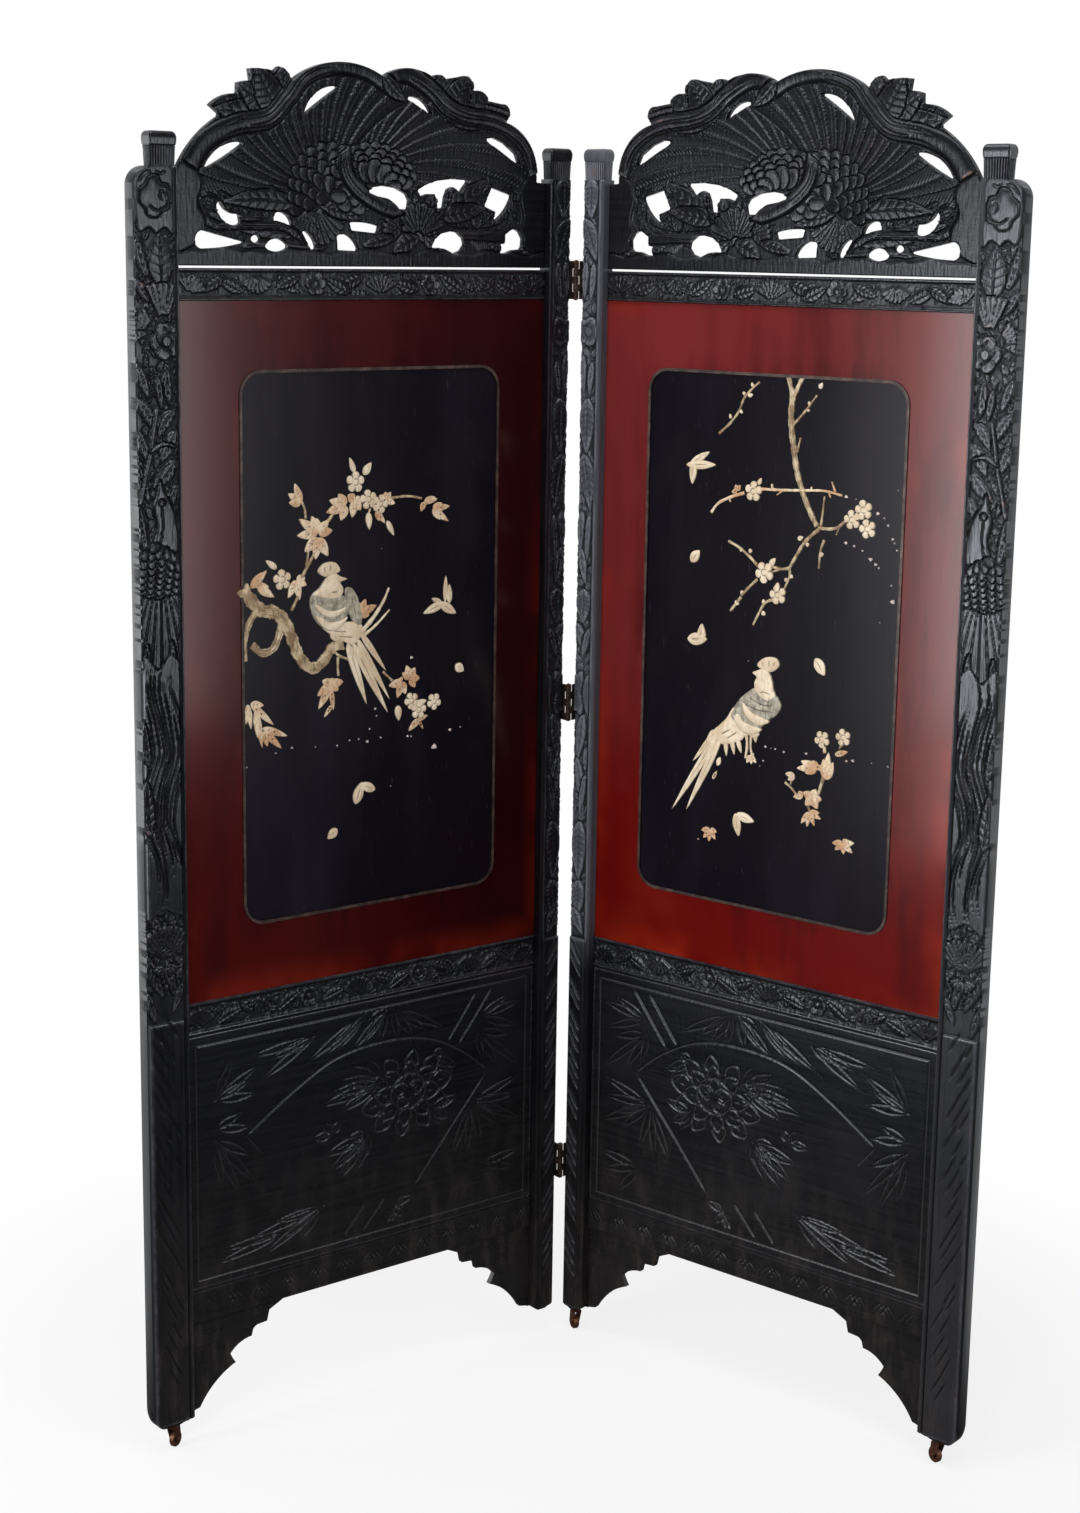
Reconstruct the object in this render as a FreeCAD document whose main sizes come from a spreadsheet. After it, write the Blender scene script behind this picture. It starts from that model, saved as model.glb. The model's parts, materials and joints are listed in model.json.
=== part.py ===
"""Two-leaf folding screen: carved frames, lacquered panels, pierced crests, pinned hinges and castors.

Frame of the part: Z up, origin on the floor under the middle of the part's box, the carved fronts
towards -Y. Each leaf is drawn lying along X: x runs from the hinge edge outwards, y from the stile
fronts back, z up from the floor. It is then turned about the hinge pins to its place at rest.
"""
import FreeCAD
import Part
import Sketcher
import math
import os
from FreeCAD import Placement, Rotation, Vector

OUT = "parts"
SHEET = "Sizes"
UP = Vector(0, 0, 1)

SIZES = {
    # Leaf, as seen from the front
    "leaf_swing": 39.05,          # degrees that each leaf stands forward at rest
    "inner_width": 36.7,          # stile beside the hinges
    "opening_width": 583.4,       # between the stiles
    "outer_width": 61.3,          # stile at the free edge
    "stile_depth": 23.0,
    "stile_top": 1693.0,
    "stile_corner": 25.0,         # round at the outer top corner
    "foot_corner": 27.0,          # round at the outer bottom corner
    "foot_height": 34.0,          # floor to the flat that a castor is fixed under
    "foot_flat": 14.0,            # width of that flat
    "foot_rise": 8.5,             # from that flat up to the stile's lower corners
    "arris": 1.5,                 # rounded corner edges of the stiles
    # Rails, heights above the floor
    "bottom_rail_low": 169.3,
    "bottom_rail_high": 215.2,
    "mid_rail_low": 576.6,
    "mid_rail_high": 620.3,
    "top_rail_low": 1531.0,
    "top_rail_high": 1571.0,
    "rail_recess": 10.35,         # rail fronts behind the stile fronts
    "rail_arris": 2.0,
    # Grooves, tenons and tongues
    "board_front": 14.0,          # front of the boards that run in the grooves
    "board_thick": 6.0,
    "groove_depth": 8.0,
    "tongue": 6.5,                # part of a board that is inside a groove
    "tenon": 20.0,
    "tenon_shoulder": 8.5,
    "fit": 0.15,                  # clearance of a joint in the frame, each side
    # Lacquered panel
    "field_start": 79.8,          # opening's hinge side to the dark field
    "field_end": 96.1,            # dark field to the opening's other side
    "field_foot": 95.7,           # mid rail to the dark field
    "field_head": 91.0,           # dark field to the top rail
    "field_round": 28.0,
    "field_sink": 0.8,
    "bead_width": 4.0,
    "bead_height": 1.6,
    # Lower panel
    "bevel_width": 15.5,
    "bevel_rise": 2.4,
    # Crest
    "crest_gap": 2.9,             # slit between the top rail and the crest
    "crest_height": 256.1,
    "crest_thick": 7.5,
    "vine_relief": 3.1,           # vines and leaves stand this far in front of the wings
    "ear_tongue": 100.0,          # height of the tongues at the crest's ends
    # Brackets
    "bracket_reach": 152.0,
    "bracket_drop": 129.0,
    "bracket_thick": 8.0,
    # Finials
    "finial_width": 34.0,
    "finial_depth": 17.0,
    "finial_height": 41.5,
    "finial_flare": 2.2,
    "finial_crown": 2.6,          # half of the round at the top edges
    "outer_finial_place": 19.5,   # middle, from the outer stile's inner edge
    "dowel_radius": 4.0,
    "dowel_length": 12.0,
    # Inlay
    "inlay_thick": 2.0,
    "trunk_width": 8.0,
    "twig_width": 3.2,
    "blossom_radius": 11.0,
    "petal_length": 15.0,
    "petal_width": 9.0,
    # Hinges
    "pin_gap": 4.0,               # pin's axis to the stile edges
    "pin_stand": 6.4,             # pin's axis in front of the stile fronts
    "hinge_height": 52.0,
    "hinge_low": 244.0,           # lower end of each hinge
    "hinge_middle": 938.0,
    "hinge_high": 1532.0,
    "pin_radius": 2.0,
    "running": 0.05,              # radial clearance of what turns
    "knuckle_play": 0.25,         # end clearance of each knuckle
    "plate_thick": 1.6,
    "plate_width": 15.0,
    "pin_head": 3.0,
    "pin_head_height": 1.5,
    "screw_radius": 1.5,
    "screw_head": 3.0,
    "screw_length": 14.0,
    # Castors
    "castor_place": 28.5,         # castor's middle, from the outer stile's inner edge
    "wheel_radius": 11.0,
    "wheel_width": 8.0,
    "wheel_round": 1.6,
    "wheel_dish": 1.0,
    "hub_radius": 4.2,
    "castor_trail": 6.0,
    "axle_radius": 1.6,
    "axle_head": 2.8,
    "axle_head_height": 0.9,
    "cheek_thick": 1.4,
    "cheek_gap": 0.45,            # wheel to cheek
    "cheek_round": 5.2,
    "web_thick": 1.8,
    "collar_radius": 6.5,
    "collar_height": 1.6,
    "pivot_radius": 2.4,
    "rivet_radius": 3.6,
    "rivet_height": 1.3,
    "lift": 0.2,                  # end clearance of the swivel
    "stem_radius": 3.45,
    "socket_radius": 3.5,
    "socket_depth": 26.0,
    "overrun": 5.0,               # how far a cut runs past the wood
}

KNUCKLES = 5
HINGES = ("low", "middle", "high")
SIDES = {"left": -1, "right": 1}
# Where each castor's wheel trails, in degrees from straight back, turning towards -X
CASTORS = {("left", "outer"): -22.0, ("right", "outer"): 32.0, ("right", "inner"): 24.0}

# %% Sizes that carry their sheet expression


class Size:
    """A length and the sheet expression that it comes from."""

    def __init__(self, value, text):
        self.value, self.text = value, text

    def __float__(self):
        return self.value

    def __add__(self, other):
        return Size(float(self) + float(other), f"({self.text} + {text(other)})")

    def __sub__(self, other):
        return Size(float(self) - float(other), f"({self.text} - {text(other)})")

    def __mul__(self, other):
        return Size(float(self) * float(other), f"({self.text} * {text(other)})")

    def __truediv__(self, other):
        return Size(float(self) / float(other), f"({self.text} / {text(other)})")

    def __neg__(self):
        return Size(-float(self), f"(-1 * {self.text})")

    def __radd__(self, other):
        return self + other

    def __rsub__(self, other):
        return -self + other

    __rmul__ = __mul__


def text(number):
    return number.text if isinstance(number, Size) else f"({float(number):.6f})"


def hypotenuse(dx, dy):
    return Size(math.hypot(float(dx), float(dy)), f"sqrt({dx.text}^2 + {dy.text}^2)")


class Sheet:
    """Attribute access to the sizes, as in S.stile_depth."""

    def __getattr__(self, name):
        return Size(SIZES[name], f"{SHEET}.{name}")


S = Sheet()
ZERO = Size(0.0, "0")
doc = FreeCAD.newDocument("FoldingScreen")
sheet = doc.addObject("Spreadsheet::Sheet", SHEET)
for row, (name, number) in enumerate(SIZES.items(), start=1):
    sheet.set(f"A{row}", name)
    sheet.set(f"B{row}", str(number))
    sheet.setAlias(f"B{row}", name)
doc.recompute()

# Places along a leaf, from its hinge edge
OPENING_START = S.inner_width
OPENING_END = S.inner_width + S.opening_width
LEAF_WIDTH = OPENING_END + S.outer_width
# Depths, from the stile fronts
BOARD_BACK = S.board_front + S.board_thick
GROOVE_FRONT = S.board_front - S.fit
GROOVE_WIDTH = S.board_thick + S.fit * 2
FIELD_FRONT = S.board_front + S.field_sink
# Crest
CREST_LOW = S.top_rail_high + S.crest_gap
EAR_TOP_SHARE = 0.442
FIELD_START = OPENING_START + S.field_start
FIELD_WIDTH = S.opening_width - S.field_start - S.field_end
FIELD_LOW = S.mid_rail_high + S.field_foot
FIELD_HIGH = S.top_rail_low - S.field_head
FIELD_HEIGHT = FIELD_HIGH - FIELD_LOW

parts = []

# %% Helpers for bodies, sketches and features


def back_reach(x, y, swing, r=0.0):
    """How far a rounded corner of a leaf lies behind the hinge axis."""
    dx, dy = S.pin_gap.value + x + r, S.pin_stand.value + y - r
    return dy * math.cos(swing) - dx * math.sin(swing) + r


def leaf_place(side):
    """Turns a leaf about the hinge pins and puts the box's middle at the origin."""
    swing = math.radians(float(S.leaf_swing))
    corner = Vector(side * S.pin_gap.value, S.pin_stand.value, 0)
    turn = Rotation(UP, -side * float(S.leaf_swing))
    r = S.arris.value
    flared = float((S.finial_width - S.inner_width) / 2 + S.finial_flare)
    finial_back = float((S.stile_depth + S.finial_depth) / 2 + S.finial_flare)
    back = max(back_reach(0.0, S.stile_depth.value, swing, r), back_reach(-flared, finial_back, swing))
    front = (float(LEAF_WIDTH + S.pin_gap) - r) * math.sin(swing)
    front -= (S.pin_stand.value + r) * math.cos(swing) - r
    return Placement(Vector(0, (front - back) / 2, 0) + turn.multVec(corner), turn)


def new_body(label, place):
    body = doc.addObject("PartDesign::Body", label)
    body.Label = label
    body.Placement = place
    parts.append(body)
    return body


def origin_plane(body, role):
    return next(f for f in body.Origin.OriginFeatures if f.Role == role)


def new_sketch(body, role, lift, across=ZERO, along=ZERO):
    """A sketch on one of the body's own planes, lifted off it and shifted in it."""
    sketch = body.newObject("Sketcher::SketchObject", "profile")
    sketch.AttachmentSupport = (origin_plane(body, role), [""])
    sketch.MapMode = "FlatFace"
    sketch.AttachmentOffset = Placement(Vector(float(across), float(along), float(lift)), Rotation())
    for axis, size in zip("xyz", (across, along, lift)):
        sketch.setExpression(f"AttachmentOffset.Base.{axis}", text(size))
    return sketch


def hold_point(sketch, element, end, x, y):
    """Ties a point of an element to its two coordinates."""
    for kind, size in (("DistanceX", x), ("DistanceY", y)):
        index = sketch.addConstraint(Sketcher.Constraint(kind, -1, 1, element, end, float(size)))
        sketch.setExpression(f"Constraints[{index}]", text(size))


def add_loop(sketch, corners, bulges=None):
    """A closed loop through corners. A bulge is the tangent of a quarter of an arc's turn."""
    bulges = bulges or {}
    ends = []
    for i, (x, y) in enumerate(corners):
        x1, y1 = corners[(i + 1) % len(corners)]
        start, stop = Vector(float(x), float(y), 0), Vector(float(x1), float(y1), 0)
        bulge = bulges.get(i, 0)
        if not bulge:
            element = sketch.addGeometry(Part.LineSegment(start, stop), False)
            ends.append((element, 1, 2))
        else:
            chord = stop - start
            middle = (start + stop) / 2 + Vector(chord.y, -chord.x, 0) * (bulge / 2)
            element = sketch.addGeometry(Part.Arc(start, middle, stop), False)
            radius = hypotenuse(x1 - x, y1 - y) * ((1 + bulge ** 2) / (4 * abs(bulge)))
            index = sketch.addConstraint(Sketcher.Constraint("Radius", element, float(radius)))
            sketch.setExpression(f"Constraints[{index}]", radius.text)
            ends.append((element, 1, 2) if bulge > 0 else (element, 2, 1))
        hold_point(sketch, element, ends[-1][1], x, y)
    for this, after in zip(ends, ends[1:] + ends[:1]):
        sketch.addConstraint(Sketcher.Constraint("Coincident", this[0], this[2], after[0], after[1]))


QUARTER = math.tan(math.radians(90 / 4))


def add_box(sketch, x0, x1, y0, y1):
    add_loop(sketch, [(x0, y0), (x1, y0), (x1, y1), (x0, y1)])


def add_rounded_box(sketch, x0, x1, y0, y1, radius):
    """A rectangle with quarter-round corners, x0 < x1 and y0 < y1."""
    corners = [(x0 + radius, y0), (x1 - radius, y0), (x1, y0 + radius), (x1, y1 - radius),
               (x1 - radius, y1), (x0 + radius, y1), (x0, y1 - radius), (x0, y0 + radius)]
    add_loop(sketch, corners, {1: QUARTER, 3: QUARTER, 5: QUARTER, 7: QUARTER})


def add_circle(sketch, x, y, radius):
    circle = Part.Circle(Vector(float(x), float(y), 0), UP, float(radius))
    element = sketch.addGeometry(circle, False)
    hold_point(sketch, element, 3, x, y)
    index = sketch.addConstraint(Sketcher.Constraint("Radius", element, float(radius)))
    sketch.setExpression(f"Constraints[{index}]", text(radius))


def extrude(body, kind, sketch, length, backwards=False, middle=False):
    feature = body.newObject(f"PartDesign::{kind}", kind.lower())
    feature.Profile = sketch
    feature.setExpression("Length", text(length))
    feature.Length = float(length)
    feature.Reversed = backwards
    if middle:
        feature.SideType = "Symmetric"
    body.Tip = feature
    return feature


def slab(body, side, x0, x1, z0, z1, front, back):
    """Board between two depths, seen square on from the front."""
    sketch = new_sketch(body, "XZ_Plane", -back)
    low, high = (x0, x1) if side > 0 else (x1, x0)
    add_box(sketch, low * side, high * side, z0, z1)
    return extrude(body, "Pad", sketch, back - front)


def slot(body, side, boxes, front, width):
    """Cuts boxes out of a board, from a depth backwards."""
    sketch = new_sketch(body, "XZ_Plane", -front)
    for x0, x1, z0, z1 in boxes:
        add_box(sketch, x0 * side, x1 * side, z0, z1)
    return extrude(body, "Pocket", sketch, width)


def bore(body, role, lift, x, y, radius, depth, backwards=False):
    sketch = new_sketch(body, role, lift)
    add_circle(sketch, x, y, radius)
    return extrude(body, "Pocket", sketch, depth, backwards)


def revolve(body, sketch, axis):
    feature = body.newObject("PartDesign::Revolution", "turning")
    feature.Profile = sketch
    feature.ReferenceAxis = (sketch, [axis])
    feature.Angle = 360
    body.Tip = feature
    return feature


def round_edges(body, picker, radius):
    """Rounds the edges of the body's last feature that the picker accepts."""
    doc.recompute()
    feature = body.Tip
    names = [f"Edge{i}" for i, e in enumerate(feature.Shape.Edges, start=1) if picker(e)]
    fillet = body.newObject("PartDesign::Fillet", "rounding")
    fillet.Base = (feature, names)
    fillet.Radius = float(radius)
    fillet.setExpression("Radius", text(radius))
    body.Tip = fillet
    return fillet


def upright_at(x, y):
    """Picks the vertical edges at a place."""
    spot = Vector(float(x), float(y), 0)
    near = float(S.fit)

    def pick(edge):
        a, b = edge.firstVertex().Point, edge.lastVertex().Point
        flat = [Vector(p.x, p.y, 0).distanceToPoint(spot) for p in (a, b)]
        return max(flat) < near and abs(a.z - b.z) > near
    return pick


def shaped(label, shape, place):
    """A sub-part whose free outline is drawn straight into its shape."""
    feature = doc.addObject("Part::Feature", label)
    feature.Label = label
    feature.Shape = shape
    feature.Placement = place
    parts.append(feature)
    return feature

# %% Stiles


def foot_heights():
    return S.foot_height, S.foot_height + S.foot_rise


def stile_cuts(side, edge, inward):
    """Panel groove and the three mortises in the stile's side, as boxes in x and z."""
    mouth = edge - S.overrun * inward
    groove_end = edge + S.groove_depth * inward
    mortise_end = edge + (S.tenon + S.fit) * inward
    ear_top = CREST_LOW + S.crest_height * EAR_TOP_SHARE
    groove_low = S.bottom_rail_low - S.bracket_drop + S.fit
    grooves = [(mouth, groove_end, groove_low, ear_top + S.fit)]
    mortises = [(mouth, mortise_end, low + S.tenon_shoulder - S.fit, high - S.tenon_shoulder + S.fit)
                for low, high in ((S.bottom_rail_low, S.bottom_rail_high),
                                  (S.mid_rail_low, S.mid_rail_high),
                                  (S.top_rail_low, S.top_rail_high))]
    return grooves, mortises


def stile(label, side, profile, bulges, edge, inward, castor_x, finial_x):
    body = new_body(label, leaf_place(side))
    sketch = new_sketch(body, "XZ_Plane", -S.stile_depth)
    add_loop(sketch, [(x * side, z) for x, z in profile], {i: b * side for i, b in bulges.items()})
    extrude(body, "Pad", sketch, S.stile_depth)
    for boxes in stile_cuts(side, edge, inward):
        slot(body, side, boxes, GROOVE_FRONT, GROOVE_WIDTH)
    middle = S.stile_depth / 2
    bore(body, "XY_Plane", S.foot_height, castor_x * side, middle, S.socket_radius, S.socket_depth, True)
    bore(body, "XY_Plane", S.stile_top, finial_x * side, middle,
         S.dowel_radius + S.running, S.dowel_length + S.fit)
    return body


def inner_stile(hand, side):
    low, corner = foot_heights()
    half = S.inner_width / 2
    flat = S.foot_flat / 2
    profile = [(ZERO, corner), (half - flat, low), (half + flat, low), (S.inner_width, corner),
               (S.inner_width, S.stile_top), (ZERO, S.stile_top)]
    body = stile(f"{hand}_inner_stile", side, profile, {}, S.inner_width, -1, half, half)
    for y, z in screw_places():
        sketch = new_sketch(body, "YZ_Plane", ZERO)
        add_circle(sketch, y, z, S.screw_radius + S.running)
        extrude(body, "Pocket", sketch, S.screw_length + S.fit, side > 0)
    round_edges(body, upright_at(ZERO, S.stile_depth), S.arris)


def outer_stile(hand, side):
    low, corner = foot_heights()
    castor_x = OPENING_END + S.castor_place
    flat = S.foot_flat / 2
    profile = [(OPENING_END, corner - S.foot_rise / 4), (castor_x - flat, low), (castor_x + flat, low),
               (LEAF_WIDTH - S.foot_corner / 2, corner - S.foot_rise / 3),
               (LEAF_WIDTH, low + S.foot_corner), (LEAF_WIDTH, S.stile_top - S.stile_corner),
               (LEAF_WIDTH - S.stile_corner, S.stile_top), (OPENING_END, S.stile_top)]
    body = stile(f"{hand}_outer_stile", side, profile, {3: QUARTER / 2, 5: QUARTER},
                 OPENING_END, 1, castor_x, OPENING_END + S.outer_finial_place)
    edge = LEAF_WIDTH * side
    round_edges(body, lambda e: upright_at(edge, ZERO)(e) or upright_at(edge, S.stile_depth)(e), S.arris)

# %% Finials


FINIAL_SHOULDER_SHARE = 0.7
FINIAL_BULGE_SHARE = -0.04


def finial_outline(half):
    """Half of a finial's outline from its foot up, as offsets from its middle, and its bulges."""
    top = S.stile_top + S.finial_height
    wide = half + S.finial_flare
    shoulder = S.stile_top + S.finial_height * FINIAL_SHOULDER_SHARE
    crown = top - S.finial_crown * 2
    corners = [(half, S.stile_top), (wide, shoulder), (wide, crown), (wide - S.finial_crown * 2, top)]
    return corners, {0: FINIAL_BULGE_SHARE, 2: QUARTER}


def finial(label, side, x):
    """A flared post with a rounded crown, sawn from the front and from the side, on a dowel."""
    body = new_body(label, leaf_place(side))
    middle = S.stile_depth / 2
    top = S.stile_top + S.finial_height
    corners, bulges = finial_outline(S.finial_width / 2)
    right = [(x * side + dx, z) for dx, z in corners]
    left = [(x * side - dx, z) for dx, z in reversed(corners)]
    deep = S.finial_depth / 2 + S.finial_flare
    sketch = new_sketch(body, "XZ_Plane", -middle)
    add_loop(sketch, right + left, {**bulges, 4: QUARTER, 6: FINIAL_BULGE_SHARE})
    extrude(body, "Pad", sketch, deep * 2, middle=True)
    corners, bulges = finial_outline(S.finial_depth / 2)
    over = top + S.overrun
    for face in (1, -1):
        waste = [(middle + dy * face, z) for dy, z in corners]
        outer = middle + (deep + S.overrun) * face
        waste += [(middle + (corners[-1][0]) * face, over), (outer, over), (outer, S.stile_top)]
        sketch = new_sketch(body, "YZ_Plane", x * side)
        add_loop(sketch, waste, {i: b * face for i, b in bulges.items()})
        extrude(body, "Pocket", sketch, S.finial_width * 2, middle=True)
    dowel = new_sketch(body, "XY_Plane", S.stile_top, x * side, middle)
    add_circle(dowel, ZERO, ZERO, S.dowel_radius)
    extrude(body, "Pad", dowel, S.dowel_length, True)

# %% Rails and the boards that run in their grooves


def rail(label, side, low, high, groove_above, groove_below):
    body = new_body(label, leaf_place(side))
    slab(body, side, OPENING_START, OPENING_END, low, high, S.rail_recess, S.stile_depth)
    slab(body, side, OPENING_START - S.tenon, OPENING_END + S.tenon, low + S.tenon_shoulder,
         high - S.tenon_shoulder, S.board_front, BOARD_BACK)
    cuts = []
    if groove_above:
        cuts.append((OPENING_START, OPENING_END, high - S.groove_depth, high + S.overrun))
    if groove_below:
        cuts.append((OPENING_START, OPENING_END, low - S.overrun, low + S.groove_depth))
    slot(body, side, cuts, GROOVE_FRONT, GROOVE_WIDTH)
    front = S.rail_recess.value
    near = float(S.fit)

    def front_edges(edge):
        ends = [v.Point for v in edge.Vertexes]
        level = abs(ends[0].z - ends[-1].z) < near and abs(ends[0].x - ends[-1].x) > near
        return level and all(abs(p.y - front) < near for p in ends)
    round_edges(body, front_edges, S.rail_arris)


def lacquer_panel(hand, side):
    """Board with its border proud of a dark field with rounded corners."""
    body = new_body(f"{hand}_lacquer_panel", leaf_place(side))
    slab(body, side, OPENING_START - S.tongue, OPENING_END + S.tongue, S.mid_rail_high - S.tongue,
         S.top_rail_low + S.tongue, S.board_front, BOARD_BACK)
    sketch = new_sketch(body, "XZ_Plane", -S.board_front)
    ends = sorted((FIELD_START * side, (FIELD_START + FIELD_WIDTH) * side), key=float)
    add_rounded_box(sketch, *ends, FIELD_LOW, FIELD_HIGH, S.field_round)
    extrude(body, "Pocket", sketch, S.field_sink)


def bead(hand, side):
    """Thin moulding round the field."""
    body = new_body(f"{hand}_bead", leaf_place(side))
    sketch = new_sketch(body, "XZ_Plane", -S.board_front)
    for grow in (ZERO, S.bead_width):
        far = FIELD_START + FIELD_WIDTH + grow
        ends = sorted(((FIELD_START - grow) * side, far * side), key=float)
        add_rounded_box(sketch, *ends, FIELD_LOW - grow, FIELD_HIGH + grow, S.field_round + grow)
    extrude(body, "Pad", sketch, S.bead_height)


def lower_panel(hand, side):
    """Raised and bevelled field on a board that runs in the grooves."""
    body = new_body(f"{hand}_lower_panel", leaf_place(side))
    low, high = S.bottom_rail_high, S.mid_rail_low
    slab(body, side, OPENING_START - S.tongue, OPENING_END + S.tongue, low - S.tongue, high + S.tongue,
         S.board_front, BOARD_BACK)
    outlines = []
    for rise, inset in ((ZERO, S.fit), (S.bevel_rise, S.bevel_width)):
        sketch = new_sketch(body, "XZ_Plane", rise - S.board_front)
        ends = sorted(((OPENING_START + inset) * side, (OPENING_END - inset) * side), key=float)
        add_box(sketch, *ends, low + inset, high - inset)
        outlines.append(sketch)
    loft = body.newObject("PartDesign::AdditiveLoft", "raised_field")
    loft.Profile = outlines[0]
    loft.Sections = outlines[1:]
    loft.Ruled = True
    body.Tip = loft

# %% Brackets under the bottom rail


BRACKET_SHARES = [(0, 0), (1, 0), (0.84, 0.09), (0.815, 0.21), (0.71, 0.22), (0.665, 0.26),
                  (0.65, 0.33), (0.425, 0.46), (0.48, 0.575), (0.105, 0.965), (0.03, 0.985), (0, 1)]
BRACKET_BULGE_SHARES = {4: 0.15, 6: 0.21, 7: 0.06, 8: 0.17}


def bracket(label, side, edge, inward):
    """Scrolled apron piece, tongued into the stile and butted under the rail."""
    body = new_body(label, leaf_place(side))
    top = S.bottom_rail_low
    corners = [((edge - S.bracket_reach * (x * inward)) * side, top - S.bracket_drop * z)
               for x, z in BRACKET_SHARES]
    sketch = new_sketch(body, "XZ_Plane", -(S.board_front + S.bracket_thick))
    hand = -side * inward
    add_loop(sketch, corners, {i: b * hand for i, b in BRACKET_BULGE_SHARES.items()})
    extrude(body, "Pad", sketch, S.bracket_thick)
    slab(body, side, edge, edge + S.tongue * inward, top - S.bracket_drop + S.fit * 2, top,
         S.board_front, BOARD_BACK)

# %% Pierced crest


# Outline and windows as shares of the opening's width and the crest's height. A window or an
# outline is a list of places: two numbers are a corner, four are a middle and an end of an arc.
CREST_SHARES = [
    (0, 0), (0, 0.442), (0.027, 0.447), (0.049, 0.641, 0.123, 0.75), (0.106, 0.797, 0.13, 0.84),
    (0.169, 0.852), (0.18, 0.886, 0.212, 0.898), (0.219, 0.957, 0.246, 0.967), (0.291, 0.949),
    (0.308, 0.969, 0.327, 0.955), (0.392, 0.992, 0.464, 0.943), (0.565, 1, 0.685, 0.926),
    (0.702, 0.898), (0.711, 0.934, 0.735, 0.959), (0.747, 0.936), (0.778, 0.945, 0.809, 0.941),
    (0.805, 0.883), (0.825, 0.88, 0.838, 0.871), (0.839, 0.82), (0.876, 0.806, 0.908, 0.76),
    (0.881, 0.715), (0.947, 0.598, 0.99, 0.459), (1, 0.461), (1, 0)]
WINDOW_SHARES = [
    [(0.084, 0.539), (0.117, 0.63, 0.171, 0.656), (0.122, 0.61, 0.084, 0.539)],
    [(0.329, 0.762), (0.356, 0.836, 0.401, 0.844), (0.361, 0.801, 0.329, 0.762)],
    [(0.579, 0.879), (0.637, 0.848, 0.672, 0.734), (0.627, 0.808, 0.579, 0.879)],
    [(0.824, 0.59), (0.889, 0.555, 0.925, 0.457), (0.877, 0.512, 0.824, 0.59)],
    [(0.097, 0.375), (0.156, 0.414), (0.178, 0.317), (0.145, 0.289), (0.15, 0.239),
     (0.114, 0.305, 0.097, 0.375)],
    [(0.222, 0.444), (0.288, 0.434, 0.356, 0.395), (0.349, 0.364), (0.286, 0.366, 0.222, 0.444)],
    [(0.397, 0.317), (0.414, 0.387, 0.48, 0.403), (0.492, 0.367), (0.427, 0.34, 0.397, 0.317)],
    [(0.471, 0.203), (0.51, 0.219, 0.55, 0.219), (0.545, 0.18), (0.476, 0.168)],
    [(0.526, 0.078), (0.541, 0.133, 0.562, 0.16), (0.584, 0.157), (0.582, 0.082)],
    [(0.054, 0.133), (0.084, 0.205, 0.114, 0.164), (0.118, 0.118), (0.125, 0.078),
     (0.08, 0.102, 0.054, 0.133)],
    [(0.233, 0.11), (0.272, 0.176, 0.322, 0.098), (0.27, 0.071, 0.233, 0.11)],
    [(0.639, 0.086), (0.649, 0.141, 0.67, 0.176), (0.678, 0.168), (0.664, 0.116, 0.654, 0.082)],
    [(0.702, 0.192), (0.716, 0.25, 0.745, 0.258), (0.75, 0.223), (0.724, 0.212, 0.702, 0.192)],
    [(0.711, 0.094), (0.742, 0.133, 0.774, 0.094), (0.742, 0.071, 0.711, 0.094)],
    [(0.783, 0.129), (0.795, 0.151, 0.807, 0.129), (0.795, 0.112, 0.783, 0.129)],
    [(0.833, 0.203), (0.836, 0.25), (0.865, 0.262, 0.884, 0.317), (0.893, 0.293),
     (0.878, 0.22, 0.833, 0.203)],
    [(0.819, 0.114), (0.866, 0.137, 0.925, 0.168), (0.947, 0.124, 0.925, 0.082),
     (0.87, 0.092, 0.819, 0.114)],
]
# Arches, wings, body, leaves and flower that stand in front of the board
RAISED_SHARES = [
    [(0.03, 0.46), (0.05, 0.625, 0.12, 0.735), (0.079, 0.61, 0.03, 0.46)],
    [(0.335, 0.95), (0.392, 0.98, 0.458, 0.935), (0.395, 0.9, 0.335, 0.95)],
    [(0.47, 0.938), (0.565, 0.993, 0.68, 0.92), (0.572, 0.912, 0.47, 0.938)],
    [(0.886, 0.705), (0.943, 0.595, 0.984, 0.465), (0.921, 0.575, 0.886, 0.705)],
    [(0.36, 0.47), (0.45, 0.58, 0.55, 0.56), (0.47, 0.435, 0.36, 0.47)],
    [(0.6, 0.42), (0.585, 0.68, 0.5, 0.86), (0.515, 0.63, 0.6, 0.42)],
    [(0.63, 0.42), (0.7, 0.66, 0.84, 0.79), (0.785, 0.57, 0.63, 0.42)],
    [(0.17, 0.5), (0.25, 0.61, 0.34, 0.57), (0.26, 0.49, 0.17, 0.5)],
    [(0.37, 0.17), (0.4, 0.24, 0.43, 0.17), (0.4, 0.1, 0.37, 0.17)],
    [(0.57, 0.26), (0.66, 0.37, 0.76, 0.36), (0.68, 0.28, 0.57, 0.26)],
]


def crest_spot(side, x_share, z_share, y):
    x = (OPENING_START + S.opening_width * x_share) * side
    return Vector(float(x), float(y), float(CREST_LOW + S.crest_height * z_share))


def crest_wire(side, places, y):
    """Closed wire through places given as shares."""
    edges = []
    here = crest_spot(side, *places[0], y)
    first = here
    for place in places[1:]:
        if len(place) == 2:
            there = crest_spot(side, *place, y)
            edges.append(Part.LineSegment(here, there).toShape())
        else:
            there = crest_spot(side, *place[2:], y)
            edges.append(Part.Arc(here, crest_spot(side, *place[:2], y), there).toShape())
        here = there
    if here.distanceToPoint(first) > S.fit.value:
        edges.append(Part.LineSegment(here, first).toShape())
    return Part.Wire(edges)


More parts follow.
